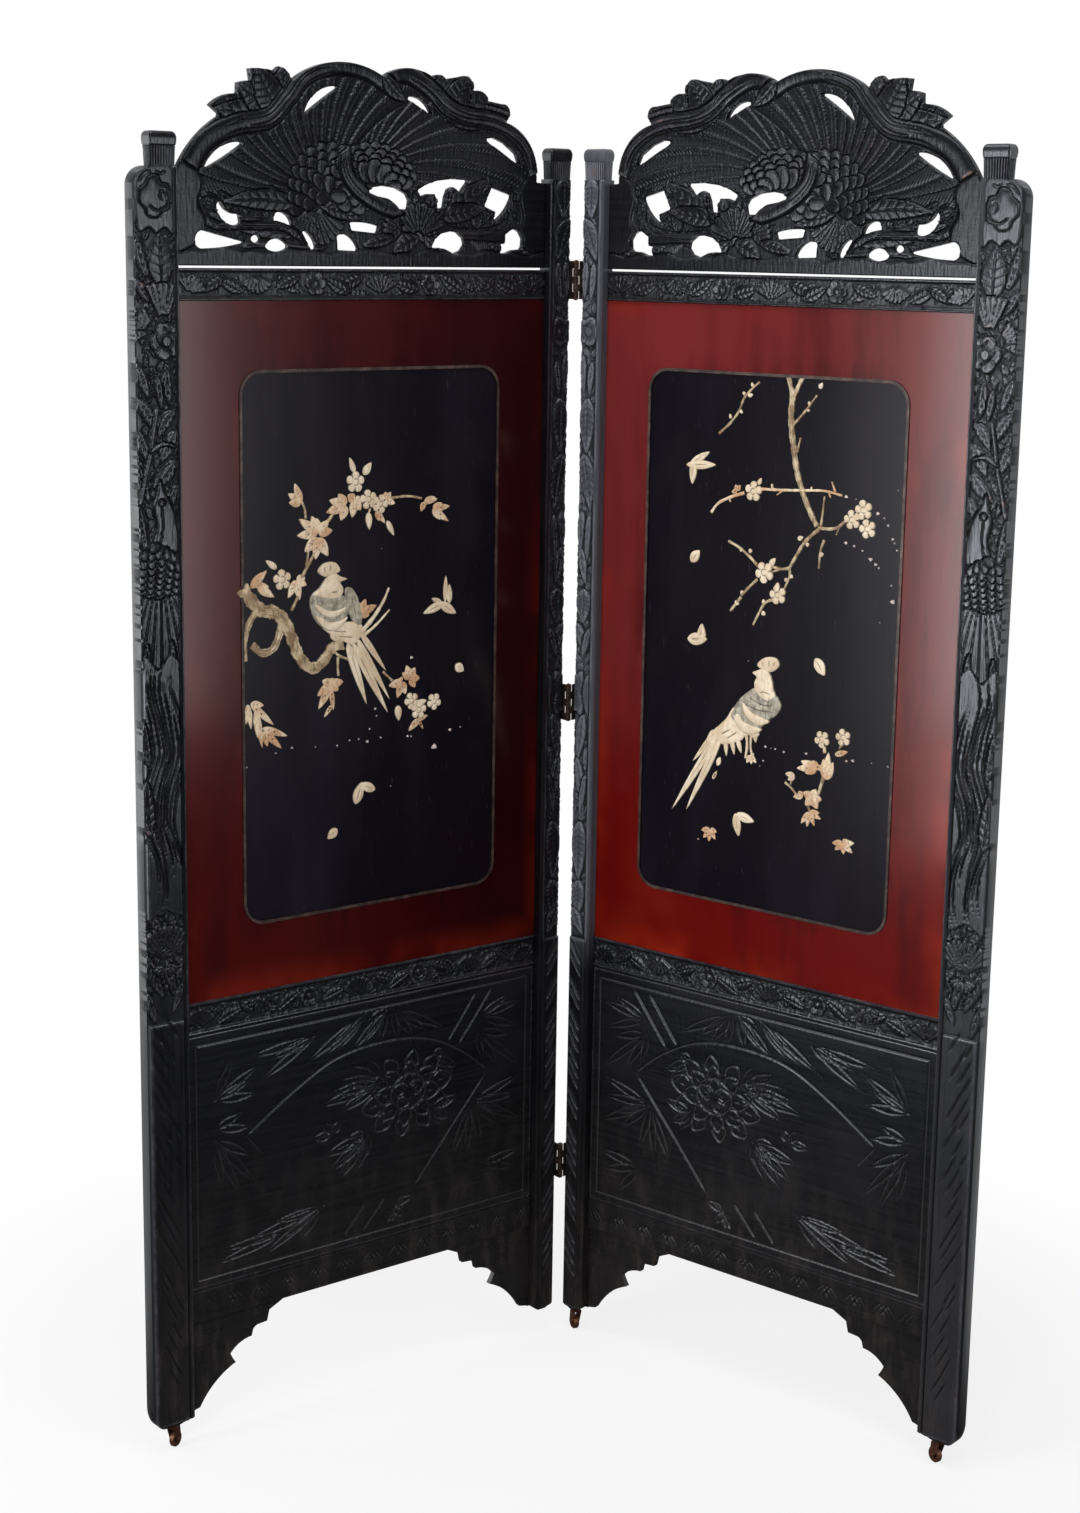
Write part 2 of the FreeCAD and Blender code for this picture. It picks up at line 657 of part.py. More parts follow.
def crest(hand, side):
    """Board pierced by windows, with raised work and tongues that run in the stile grooves."""
    front = S.rail_recess + S.vine_relief
    wires = [crest_wire(side, places, front) for places in [CREST_SHARES] + WINDOW_SHARES]
    board = Part.makeFace(wires, "Part::FaceMakerBullseye").extrude(Vector(0, float(S.crest_thick), 0))
    raised = [Part.Face(crest_wire(side, places, front)).extrude(Vector(0, -float(S.vine_relief), 0))
              for places in RAISED_SHARES]
    low = CREST_LOW + S.crest_height * EAR_TOP_SHARE - S.ear_tongue
    tongues = []
    for x in (OPENING_START - S.tongue, OPENING_END):
        corner = min(float(x * side), float((x + S.tongue) * side))
        tongues.append(Part.makeBox(float(S.tongue), float(S.board_thick), float(S.ear_tongue),
                                    Vector(corner, float(S.board_front), float(low))))
    shaped(f"{hand}_crest", board.fuse(raised + tongues).removeSplitter(), leaf_place(side))

# %% Inlay on the dark field


BIRD_SHARES = {
    "right": [
        (0.455, 0.452), (0.498, 0.46), (0.53, 0.448), (0.547, 0.423), (0.569, 0.406), (0.567, 0.387),
        (0.506, 0.356), (0.476, 0.325), (0.432, 0.333), (0.417, 0.311), (0.363, 0.283), (0.371, 0.305),
        (0.324, 0.29), (0.272, 0.239), (0.258, 0.204), (0.205, 0.162), (0.231, 0.193), (0.248, 0.227),
        (0.14, 0.16), (0.209, 0.229), (0.243, 0.25), (0.221, 0.261), (0.275, 0.32), (0.317, 0.341),
        (0.361, 0.372), (0.39, 0.396), (0.464, 0.424)],
    "left": [
        (0.609, 0.62), (0.638, 0.634), (0.672, 0.63), (0.699, 0.606), (0.746, 0.587), (0.736, 0.558),
        (0.675, 0.51), (0.604, 0.489), (0.574, 0.448), (0.533, 0.385), (0.518, 0.406), (0.452, 0.363),
        (0.466, 0.409), (0.491, 0.441), (0.496, 0.47), (0.533, 0.51), (0.525, 0.541), (0.55, 0.572),
        (0.582, 0.597), (0.626, 0.594)],
}
BRANCH_SHARES = {
    "right": [
        ("trunk_width", [(0.56, 0.997), (0.575, 0.91), (0.599, 0.82), (0.68, 0.742)]),
        ("twig_width", [(0.265, 0.742), (0.422, 0.79), (0.575, 0.797)]),
        ("twig_width", [(0.64, 0.8), (0.766, 0.796)]),
        ("twig_width", [(0.7, 0.738), (0.8, 0.752)]),
        ("twig_width", [(0.67, 0.728), (0.582, 0.659), (0.51, 0.65)]),
        ("twig_width", [(0.572, 0.64), (0.555, 0.612)]),
        ("twig_width", [(0.29, 0.891), (0.348, 0.923), (0.432, 0.986)])],
    "left": [
        ("trunk_width", [(0.98, 0.6), (0.967, 0.57), (0.839, 0.555), (0.766, 0.475), (0.7, 0.466)]),
        ("twig_width", [(0.8, 0.585), (0.766, 0.627), (0.721, 0.7), (0.65, 0.745)]),
        ("twig_width", [(0.45, 0.764), (0.287, 0.754)])],
}
BLOSSOM_SHARES = {
    "right": [(0.422, 0.787), (0.481, 0.638), (0.54, 0.602), (0.826, 0.757), (0.736, 0.343), (0.815, 0.352)],
    "left": [(0.852, 0.63), (0.572, 0.8), (0.51, 0.768), (0.348, 0.372), (0.25, 0.37)],
}
# Places and turns, in degrees, of the leaves, petals and butterfly wings
PETAL_SHARES = {
    "right": [(0.2, 0.655, 60), (0.235, 0.835, 15), (0.19, 0.826, 75), (0.22, 0.52, 10), (0.236, 0.535, 80),
              (0.727, 0.478, -50), (0.677, 0.286, 20), (0.76, 0.296, 80), (0.712, 0.229, 0),
              (0.834, 0.152, 5), (0.292, 0.128, -10), (0.43, 0.168, 30), (0.416, 0.152, 80)],
    "left": [(0.135, 0.432, -15), (0.2, 0.575, 80), (0.21, 0.552, -5), (0.565, 0.21, 75), (0.53, 0.222, 10),
             (0.663, 0.143, 40), (0.945, 0.385, -50), (0.92, 0.36, -35), (0.68, 0.425, 60)],
}


def field_spot(side, x_share, z_share):
    x = (FIELD_START + FIELD_WIDTH * x_share) * side
    return Vector(float(x), float(FIELD_FRONT), float(FIELD_LOW + FIELD_HEIGHT * z_share))


def inlay_solid(wire):
    return Part.Face(wire).extrude(Vector(0, -float(S.inlay_thick), 0))


def inlay_bird(hand, side):
    spots = [field_spot(side, *place) for place in BIRD_SHARES[hand]]
    shaped(f"{hand}_bird", inlay_solid(Part.makePolygon(spots + spots[:1])), leaf_place(side))


def strip(spots, width):
    """Closed wire of constant width along spots."""
    back = Vector(0, 1, 0)
    ways = [(b - a).normalize() for a, b in zip(spots, spots[1:])]
    one, other = [], []
    for i, spot in enumerate(spots):
        near, far = ways[max(i - 1, 0)], ways[min(i, len(ways) - 1)]
        across = (near + far).normalize().cross(back)
        across = across * (width / 2 / math.cos(near.getAngle(far) / 2))
        one.append(spot + across)
        other.append(spot - across)
    loop = one + other[::-1]
    return Part.makePolygon(loop + loop[:1])


def inlay_branch(hand, side):
    """Trunk and twigs, broken where a blossom lies on them."""
    radius, forwards = float(S.blossom_radius + S.fit), Vector(0, -1, 0)
    rounds = [Part.makeCylinder(radius, float(S.inlay_thick), field_spot(side, *place), forwards)
              for place in BLOSSOM_SHARES[hand]]
    solids = []
    for width, places in BRANCH_SHARES[hand]:
        spots = [field_spot(side, *place) for place in places]
        solids += inlay_solid(strip(spots, SIZES[width])).cut(rounds).Solids
    shaped(f"{hand}_branch", Part.makeCompound(solids), leaf_place(side))


def petal(spot, degrees):
    """Pointed oval of two arcs, its length turned from the horizontal."""
    turn = Rotation(Vector(0, -1, 0), degrees)
    along = turn.multVec(Vector(float(S.petal_length / 2), 0, 0))
    across = turn.multVec(Vector(0, 0, float(S.petal_width / 2)))
    a, b = spot - along, spot + along
    return Part.Wire([Part.Arc(a, spot + across, b).toShape(), Part.Arc(b, spot - across, a).toShape()])


def inlay_petals(hand, side):
    solids = [inlay_solid(petal(field_spot(side, x, z), side * turn)) for x, z, turn in PETAL_SHARES[hand]]
    shaped(f"{hand}_petals", Part.makeCompound(solids), leaf_place(side))


def inlay_blossoms(hand, side):
    """Five-lobed rounds."""
    lobes = 5
    solids = []
    for place in BLOSSOM_SHARES[hand]:
        spot = field_spot(side, *place)
        tips = [2 * math.pi * i / lobes for i in range(lobes)]
        r = float(S.blossom_radius)
        valley = 0.72
        edges = []
        for angle in tips:
            before, after = angle - math.pi / lobes, angle + math.pi / lobes
            ring = [spot + Vector(math.cos(t) * k * r, 0, math.sin(t) * k * r)
                    for t, k in ((before, valley), (angle, 1), (after, valley))]
            edges.append(Part.Arc(*ring).toShape())
        solids.append(inlay_solid(Part.Wire(edges)))
    shaped(f"{hand}_blossoms", Part.makeCompound(solids), leaf_place(side))

# %% Hinges


def hinge_lows():
    return [getattr(S, f"hinge_{name}") for name in HINGES]


def knuckle_height():
    return S.hinge_height / KNUCKLES


def screw_places():
    """Depth and height of each screw's axis in a stile's hinge edge."""
    depth = S.plate_width / 2
    shares = (0.14, 0.5, 0.86)
    return [(depth, low + S.hinge_height * share) for low in hinge_lows() for share in shares]


def hinge_plate(hand, side, name):
    """Plate on the stile's edge with its knuckles round the pin."""
    low = getattr(S, f"hinge_{name}")
    body = new_body(f"{hand}_hinge_plate_{name}", leaf_place(side))
    reach = S.pin_gap + S.running * 4
    sketch = new_sketch(body, "XY_Plane", low)
    add_box(sketch, *sorted((-S.plate_thick * side, ZERO), key=float), reach - S.pin_stand, S.plate_width)
    extrude(body, "Pad", sketch, S.hinge_height)
    own = [i for i in range(KNUCKLES) if (i % 2 == 0) == (side < 0)]
    for i in own:
        foot = low + knuckle_height() * i
        play_low = ZERO if i == 0 else S.knuckle_play / 2
        play_high = ZERO if i == KNUCKLES - 1 else S.knuckle_play / 2
        height = knuckle_height() - play_low - play_high
        sketch = new_sketch(body, "XY_Plane", foot + play_low)
        add_box(sketch, *sorted((-S.plate_thick * side, ZERO), key=float), -S.pin_stand,
                reach - S.pin_stand + S.fit)
        extrude(body, "Pad", sketch, height)
        sketch = new_sketch(body, "XY_Plane", foot + play_low)
        add_circle(sketch, -S.pin_gap * side, -S.pin_stand, S.pin_gap)
        extrude(body, "Pad", sketch, height)
    clearance = S.running if side > 0 else S.running / 2
    bore(body, "XY_Plane", low + S.hinge_height + S.overrun, -S.pin_gap * side, -S.pin_stand,
         S.pin_radius + clearance, S.hinge_height + S.overrun * 2)
    for y, z in screw_places():
        if low.value < z.value < (low + S.hinge_height).value:
            cone = body.newObject("PartDesign::SubtractiveCone", "countersink")
            wide, narrow = S.screw_head + S.running, S.screw_radius + S.running
            cone.setExpression("Radius1", text(wide))
            cone.setExpression("Radius2", text(narrow))
            cone.setExpression("Height", text(S.plate_thick))
            cone.Placement = Placement(Vector(-side * float(S.plate_thick), float(y), float(z)),
                                       Rotation(UP, Vector(side, 0, 0)))
            body.Tip = cone


def hinge_pin(name):
    """Pin with a bevelled head at each end, upright on the hinge axis."""
    low = getattr(S, f"hinge_{name}")
    at_axis = Placement(Vector(0, axis_y(), 0), Rotation())
    body = new_body(f"hinge_pin_{name}", at_axis)
    sketch = new_sketch(body, "XZ_Plane", ZERO, ZERO, low)
    top = S.hinge_height
    cap = S.pin_head_height
    flat = S.pin_head / 2
    add_loop(sketch, [(ZERO, -cap), (flat, -cap), (S.pin_head, ZERO), (S.pin_radius, ZERO),
                      (S.pin_radius, top), (S.pin_head, top), (flat, top + cap), (ZERO, top + cap)])
    revolve(body, sketch, "V_Axis")


def hinge_screws(hand, side):
    """Countersunk screws of one leaf's plates."""
    solids = []
    for y, z in screw_places():
        inwards = Vector(side, 0, 0)
        seat = Vector(0, float(y), float(z))
        head = Part.makeCone(float(S.screw_head), float(S.screw_radius), float(S.plate_thick),
                             seat - inwards * float(S.plate_thick), inwards)
        shank = Part.makeCylinder(float(S.screw_radius), float(S.screw_length), seat, inwards)
        solids.append(head.fuse(shank).removeSplitter())
    shaped(f"{hand}_hinge_screws", Part.makeCompound(solids), leaf_place(side))


def axis_y():
    """The hinge axis in the frame of the part."""
    place = leaf_place(1)
    return place.multVec(Vector(-S.pin_gap.value, -S.pin_stand.value, 0)).y

# %% Castors


def castor_place(hand, which):
    side = SIDES[hand]
    x = S.inner_width / 2 if which == "inner" else OPENING_END + S.castor_place
    spot = leaf_place(side).multVec(Vector(side * float(x), float(S.stile_depth / 2), 0))
    return Placement(spot, Rotation(UP, CASTORS[hand, which]))


def web_top():
    return S.foot_height - S.collar_height - S.lift


def castor_stem(label, place):
    """Stem in the stile's socket, with a collar under the foot and a rivet below the fork's web."""
    body = new_body(label, place)
    sketch = new_sketch(body, "XZ_Plane", ZERO)
    collar_low = S.foot_height - S.collar_height
    rivet_top = web_top() - S.web_thick - S.lift
    top = S.foot_height + S.socket_depth - S.fit
    rivet_low = rivet_top - S.rivet_height
    add_loop(sketch, [(ZERO, rivet_low), (S.rivet_radius / 2, rivet_low), (S.rivet_radius, rivet_top),
                      (S.pivot_radius, rivet_top), (S.pivot_radius, collar_low),
                      (S.collar_radius, collar_low),
                      (S.collar_radius, S.foot_height), (S.stem_radius, S.foot_height),
                      (S.stem_radius, top), (ZERO, top)])
    revolve(body, sketch, "V_Axis")


def castor_fork(label, place):
    """Web under the collar and two cheeks that reach back to the axle."""
    body = new_body(label, place)
    width = S.wheel_width + S.cheek_gap * 2 + S.cheek_thick * 2
    top, under = web_top(), web_top() - S.web_thick
    half = S.collar_radius
    hub = S.wheel_radius
    sketch = new_sketch(body, "YZ_Plane", ZERO)
    add_loop(sketch, [(-half, under), (S.castor_trail - S.cheek_round, hub),
                      (S.castor_trail + S.cheek_round, hub), (half + S.cheek_round / 2, under),
                      (half, top), (-half, top)], {1: 0.9})
    extrude(body, "Pad", sketch, width, middle=True)
    opening = S.wheel_width / 2 + S.cheek_gap
    sketch = new_sketch(body, "XZ_Plane", half * 4)
    add_box(sketch, -opening, opening, -S.overrun, under)
    extrude(body, "Pocket", sketch, half * 8)
    bore(body, "XY_Plane", top + S.overrun, ZERO, ZERO, S.pivot_radius + S.running, S.overrun * 2)
    sketch = new_sketch(body, "YZ_Plane", ZERO)
    add_circle(sketch, S.castor_trail, hub, S.axle_radius)
    extrude(body, "Pocket", sketch, width * 2, middle=True)


def castor_wheel(label, place):
    """Cast wheel with a dished face and a boss round the axle."""
    body = new_body(label, place)
    sketch = new_sketch(body, "XZ_Plane", -S.castor_trail, ZERO, S.wheel_radius)
    half, r = S.wheel_width / 2, S.wheel_radius
    hole = S.axle_radius + S.running
    dish = half - S.wheel_dish
    rim = r - S.wheel_round * 2
    add_loop(sketch, [(-half, hole), (half, hole), (half, S.hub_radius), (dish, S.hub_radius), (dish, rim),
                      (half, rim), (half, r - S.wheel_round), (half - S.wheel_round, r),
                      (S.wheel_round - half, r), (-half, r - S.wheel_round), (-half, rim), (-dish, rim),
                      (-dish, S.hub_radius), (-half, S.hub_radius)])
    revolve(body, sketch, "H_Axis")


def castor_axle(label, place):
    """Rivet through the cheeks, headed outside them."""
    body = new_body(label, place)
    sketch = new_sketch(body, "XZ_Plane", -S.castor_trail, ZERO, S.wheel_radius)
    inside = S.wheel_width / 2 + S.cheek_gap + S.cheek_thick
    end = inside + S.axle_head_height
    shank, head = S.axle_radius - S.running / 4, S.axle_head
    flat = head / 2
    add_loop(sketch, [(-end, ZERO), (end, ZERO), (end, flat), (inside, head), (inside, shank),
                      (-inside, shank), (-inside, head), (-end, flat)])
    revolve(body, sketch, "H_Axis")

# %% The whole screen


for hand, side in SIDES.items():
    inner_stile(hand, side)
    outer_stile(hand, side)
    finial(f"{hand}_inner_finial", side, S.inner_width / 2)
    finial(f"{hand}_outer_finial", side, OPENING_END + S.outer_finial_place)
    rail(f"{hand}_bottom_rail", side, S.bottom_rail_low, S.bottom_rail_high, True, False)
    rail(f"{hand}_mid_rail", side, S.mid_rail_low, S.mid_rail_high, True, True)
    rail(f"{hand}_top_rail", side, S.top_rail_low, S.top_rail_high, False, True)
    lacquer_panel(hand, side)
    bead(hand, side)
    lower_panel(hand, side)
    bracket(f"{hand}_inner_bracket", side, OPENING_START, -1)
    bracket(f"{hand}_outer_bracket", side, OPENING_END, 1)
    crest(hand, side)
    inlay_bird(hand, side)
    inlay_branch(hand, side)
    inlay_blossoms(hand, side)
    inlay_petals(hand, side)
    for name in HINGES:
        hinge_plate(hand, side, name)
    hinge_screws(hand, side)
for name in HINGES:
    hinge_pin(name)
for hand, which in CASTORS:
    for piece, make in (("stem", castor_stem), ("fork", castor_fork), ("wheel", castor_wheel),
                        ("axle", castor_axle)):
        make(f"{hand}_{which}_castor_{piece}", castor_place(hand, which))
doc.recompute()

# %% Checks and export

failed = [o.Label for o in doc.Objects if "Invalid" in o.State or "Error" in o.State]
if failed:
    raise RuntimeError(f"objects that failed: {failed}")
for part in parts:
    if part.Shape.isNull() or not part.Shape.isValid() or not part.Shape.Solids:
        raise RuntimeError(f"bad shape: {part.Label}")
os.makedirs(OUT, exist_ok=True)
for part in parts:
    part.Shape.exportStep(os.path.join(OUT, f"{part.Label}.step"))

box = parts[0].Shape.BoundBox
for part in parts:
    box.add(part.Shape.BoundBox)
corners = (box.XMin, box.YMin, box.ZMin, box.XMax, box.YMax, box.ZMax)
print(len(parts), "sub-parts, box", [round(v, 2) for v in corners])


def show(name, point):
    print(name, [round(v, 4) for v in point])


show("hinge axis", Vector(0, axis_y(), 0))
for hand, which in CASTORS:
    place = castor_place(hand, which)
    show(f"{hand} {which} castor swivel", place.Base)
    show("  wheel centre", place.multVec(Vector(0, S.castor_trail.value, S.wheel_radius.value)))
    show("  axle", place.Rotation.multVec(Vector(1, 0, 0)))
left = leaf_place(-1)
middle = S.stile_depth.value / 2
show("empty socket", left.multVec(Vector(-S.inner_width.value / 2, middle, S.foot_height.value)))
show("left free edge", left.multVec(Vector(-float(LEAF_WIDTH), middle, S.stile_top.value / 2)))
show("  facing", left.Rotation.multVec(Vector(-1, 0, 0)))
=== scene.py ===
# %% [markdown]
# A folding screen has two leaves of blackened wood, hinged where they meet. The packed model
# already has every board in its true place, so this file only dresses it: it carves the wood,
# lacquers the panels and lays the inlay. Everything is measured from the packed boards.

# %% Load the packed boards
import json
import math

import bpy
import numpy as np
from mathutils.geometry import delaunay_2d_cdt
from mathutils import Matrix, Vector


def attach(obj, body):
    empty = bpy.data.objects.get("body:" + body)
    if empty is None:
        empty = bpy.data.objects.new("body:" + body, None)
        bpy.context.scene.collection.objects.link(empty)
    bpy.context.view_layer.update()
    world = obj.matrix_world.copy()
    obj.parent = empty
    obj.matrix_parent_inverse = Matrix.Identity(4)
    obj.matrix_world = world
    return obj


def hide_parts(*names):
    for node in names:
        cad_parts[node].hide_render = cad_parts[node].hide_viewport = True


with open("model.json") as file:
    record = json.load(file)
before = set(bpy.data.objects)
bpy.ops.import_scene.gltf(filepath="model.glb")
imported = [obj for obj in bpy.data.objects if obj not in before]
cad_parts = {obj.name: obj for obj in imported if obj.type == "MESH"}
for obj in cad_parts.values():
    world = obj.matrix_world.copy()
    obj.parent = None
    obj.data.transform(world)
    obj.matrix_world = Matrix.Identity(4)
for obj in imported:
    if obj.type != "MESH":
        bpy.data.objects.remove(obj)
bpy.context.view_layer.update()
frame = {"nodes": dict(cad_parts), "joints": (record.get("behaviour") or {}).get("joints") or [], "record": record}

nodes = frame["nodes"]
record = frame["record"]

# %% [markdown]
# Carving is easier to plan flat. Each leaf gets its own three directions: along it from the hinge
# edge, back from its front, and up. The mirrored left leaf then takes the same drawing as the
# right one. The rule that the drawings are measured with starts a little before the hinge edge.

# %% A leaf's own directions
MM = 0.001
RULE = 11.5
SIDES = {"left": -1, "right": 1}


def named(rows, name):
    return next(row for row in rows if row["name"] == name)


hinge = np.array(named(frame["joints"], "leaf_fold")["pos_m"]) / MM


class Leaf:
    """One leaf of the screen, with places given as rule, depth and height in millimetres."""

    def __init__(self, hand):
        self.hand, self.side = hand, SIDES[hand]
        self.along = np.array(named(record["mounts"], f"{hand}_free_edge")["axis"], float)
        self.back = self.side * np.array([-self.along[1], self.along[0], 0.0])
        stile = self.raw(f"{hand}_inner_stile")
        self.start = stile[:, 0].min()
        self.front = stile[:, 1].min()

    def raw(self, node):
        """A packed board's corners, along and back from the hinge and up from the floor."""
        mesh = nodes[node].data
        co = np.empty(len(mesh.vertices) * 3)
        mesh.vertices.foreach_get("co", co)
        away = co.reshape(-1, 3) / MM - hinge
        return np.stack([away @ self.along, away @ self.back, away[:, 2]], axis=1)

    def spots(self, node):
        """The same corners as rule, depth behind the leaf's front, and height."""
        return self.raw(node) - np.array([self.start - RULE, self.front, 0.0])

    def limits(self, node):
        spots = self.spots(node)
        return spots.min(0), spots.max(0)

    def world(self, spots):
        """Places on the leaf in metres in the room."""
        spots = np.asarray(spots, float)
        along = spots[:, 0] + self.start - RULE
        depth = spots[:, 1] + self.front
        flat = hinge + np.outer(along, self.along) + np.outer(depth, self.back)
        flat[:, 2] += spots[:, 2]
        return flat * MM

    def silhouette(self, node):
        """Segments round a packed board's back face, as rows of rule and height, both ends."""
        spots = np.round(self.spots(node), 2)
        kept, index = np.unique(spots, axis=0, return_inverse=True)
        index = index.reshape(-1)
        mesh = nodes[node].data
        mesh.calc_loop_triangles()
        corners = np.empty(len(mesh.loop_triangles) * 3, np.int32)
        mesh.loop_triangles.foreach_get("vertices", corners)
        corners = index[corners].reshape(-1, 3)
        at_back = kept[:, 1] > kept[:, 1].max() - 0.05
        flat = corners[at_back[corners].all(axis=1)]
        edges = np.sort(np.concatenate([flat[:, :2], flat[:, 1:], flat[:, ::2]]), axis=1)
        edges, count = np.unique(edges, axis=0, return_counts=True)
        edges = edges[count == 1]
        return np.concatenate([kept[edges[:, 0]][:, ::2], kept[edges[:, 1]][:, ::2]], axis=1)


leaves = {hand: Leaf(hand) for hand in SIDES}
for leaf in leaves.values():
    print(leaf.hand, "leaf starts", round(leaf.start, 2), "mm from the hinge")

# %% [markdown]
# Wood, lacquer and bone are all built from a few sums of noise and masks. Written as nodes those
# sums are hard to read, so one small class stands for a socket and lets plain maths add the nodes.

# %% Shader sums written as maths


class Sum:
    """A socket in a finish, so that maths on it adds Math nodes."""

    def __init__(self, finish, socket):
        self.finish, self.socket = finish, socket

    def apply(self, operation, *values):
        return self.finish.node("Math", {"operation": operation}, dict(enumerate(values)))

    def __add__(self, other):
        return self.apply("ADD", self, other)

    def __sub__(self, other):
        return self.apply("SUBTRACT", self, other)

    def __rsub__(self, other):
        return self.apply("SUBTRACT", other, self)

    def __mul__(self, other):
        return self.apply("MULTIPLY", self, other)

    def __pow__(self, other):
        return self.apply("POWER", self, other)

    __radd__, __rmul__ = __add__, __mul__

    def size(self):
        return self.apply("ABSOLUTE", self)

    def most(self, other):
        return self.apply("MAXIMUM", self, other)

    def step(self, low, high):
        """0 below low, 1 above high, smooth between them."""
        return self.finish.node("MapRange", {"interpolation_type": "SMOOTHSTEP"},
                                {"Value": self, "From Min": low, "From Max": high})


def paint(red, green, blue):
    """A colour as it looks on paper, 0 to 255, turned into light."""
    def light(v):
        v = v / 255
        return v / 12.92 if v <= 0.04045 else ((v + 0.055) / 1.055) ** 2.4
    return light(red), light(green), light(blue), 1.0


def chosen(sockets, key):
    """One of a node's sockets, by number or by name."""
    if isinstance(key, int):
        return sockets[key]
    return next(socket for socket in sockets if key in (socket.identifier, socket.name))


class Finish:
    """A material on one Principled shader."""

    def __init__(self, name, **constants):
        self.material = bpy.data.materials.new(name)
        self.material.use_nodes = True
        self.tree = self.material.node_tree
        self.shader = self.tree.nodes["Principled BSDF"]
        for key, value in constants.items():
            self.shader.inputs[key.replace("_", " ")].default_value = value

    def node(self, kind, settings, sockets, output=0):
        """Adds a node: its settings are set first, then its sockets get values or links."""
        made = self.tree.nodes.new("ShaderNode" + kind)
        for key, value in settings.items():
            setattr(made, key, value)
        for key, value in sockets.items():
            socket = chosen(made.inputs, key)
            if isinstance(value, Sum):
                self.tree.links.new(value.socket, socket)
            else:
                socket.default_value = value
        return Sum(self, chosen(made.outputs, output))

    def link(self, name, value):
        self.tree.links.new(value.socket, self.shader.inputs[name])

    def mix(self, share, first, second):
        return self.node("Mix", {"data_type": "RGBA"},
                         {"Factor_Float": share, "A_Color": first, "B_Color": second},
                         "Result_Color")

    def place(self, kind="Object"):
        return self.node("TexCoord", {}, {}, kind)

    def axis(self, letter, kind="Object"):
        """Places along one axis, in metres."""
        return self.node("SeparateXYZ", {}, {"Vector": self.place(kind)}, letter)

    def vector(self, operation, first, second, output=0):
        return self.node("VectorMath", {"operation": operation}, {0: first, 1: second}, output)

    def stretched(self, scale, turn=0.0):
        """Places in metres, turned about the upright and then scaled on each axis."""
        turned = self.node("VectorRotate", {"rotation_type": "Z_AXIS"},
                           {"Vector": self.place(), "Angle": turn})
        return self.vector("MULTIPLY", turned, scale)

    def noise(self, where, scale=1.0, detail=3.0, rough=0.5):
        return self.node("TexNoise", {}, {"Vector": where, "Scale": scale, "Detail": detail,
                                          "Roughness": rough}, "Fac")

    def marks(self, name):
        """Values that the carving left on the mesh under a name."""
        return self.node("Attribute", {"attribute_name": name}, {}, "Fac")

    def ray(self, kind):
        """1 where the surface is looked at by this kind of ray."""
        return self.node("LightPath", {}, {}, f"Is {kind} Ray")

    def bump(self, height, distance, strength=1.0):
        self.link("Normal", self.node("Bump", {}, {"Height": height, "Distance": distance,
                                                  "Strength": strength}))


print("shader sums ready")

# %% [markdown]
# The frame is a pale hardwood, stained black and polished with wax. Its grain runs along each board,
# so upright and level boards need the noise stretched in different directions. Where hands and
# knocks reach, on the high arrises of the carving, the stain has gone thin and brown. The ridges
# also get a lighter bluish tone, partly rubbing wear and partly a painted highlight, and the hollows
# get painted shade; on the lower panels the cuts get a lighter tone instead, a painted highlight.
# All of these come from marks that the carving leaves on each mesh. Feet have scuffed the lowest
# half metre. The right leaf's uprights get a painted grey sheen, the inner one above the middle
# rail most of all, and the crests shine less than the rest.

# %% Black wood
SWING = math.atan2(-leaves["right"].along[1], leaves["right"].along[0])
UPRIGHT, LEVEL = (160.0, 160.0, 5.0), (5.0, 160.0, 160.0)
STAIN, THIN_STAIN, CLOUDED = paint(11, 11, 14), paint(21, 21, 25), paint(31, 28, 30)
RUBBED_AND_SHEEN, GREY_SHEEN, GREY_RIDGE_SHEEN = paint(80, 80, 88), paint(88, 89, 97), paint(134, 135, 144)
SCUFFED, WORN = paint(56, 50, 46), paint(124, 94, 80)


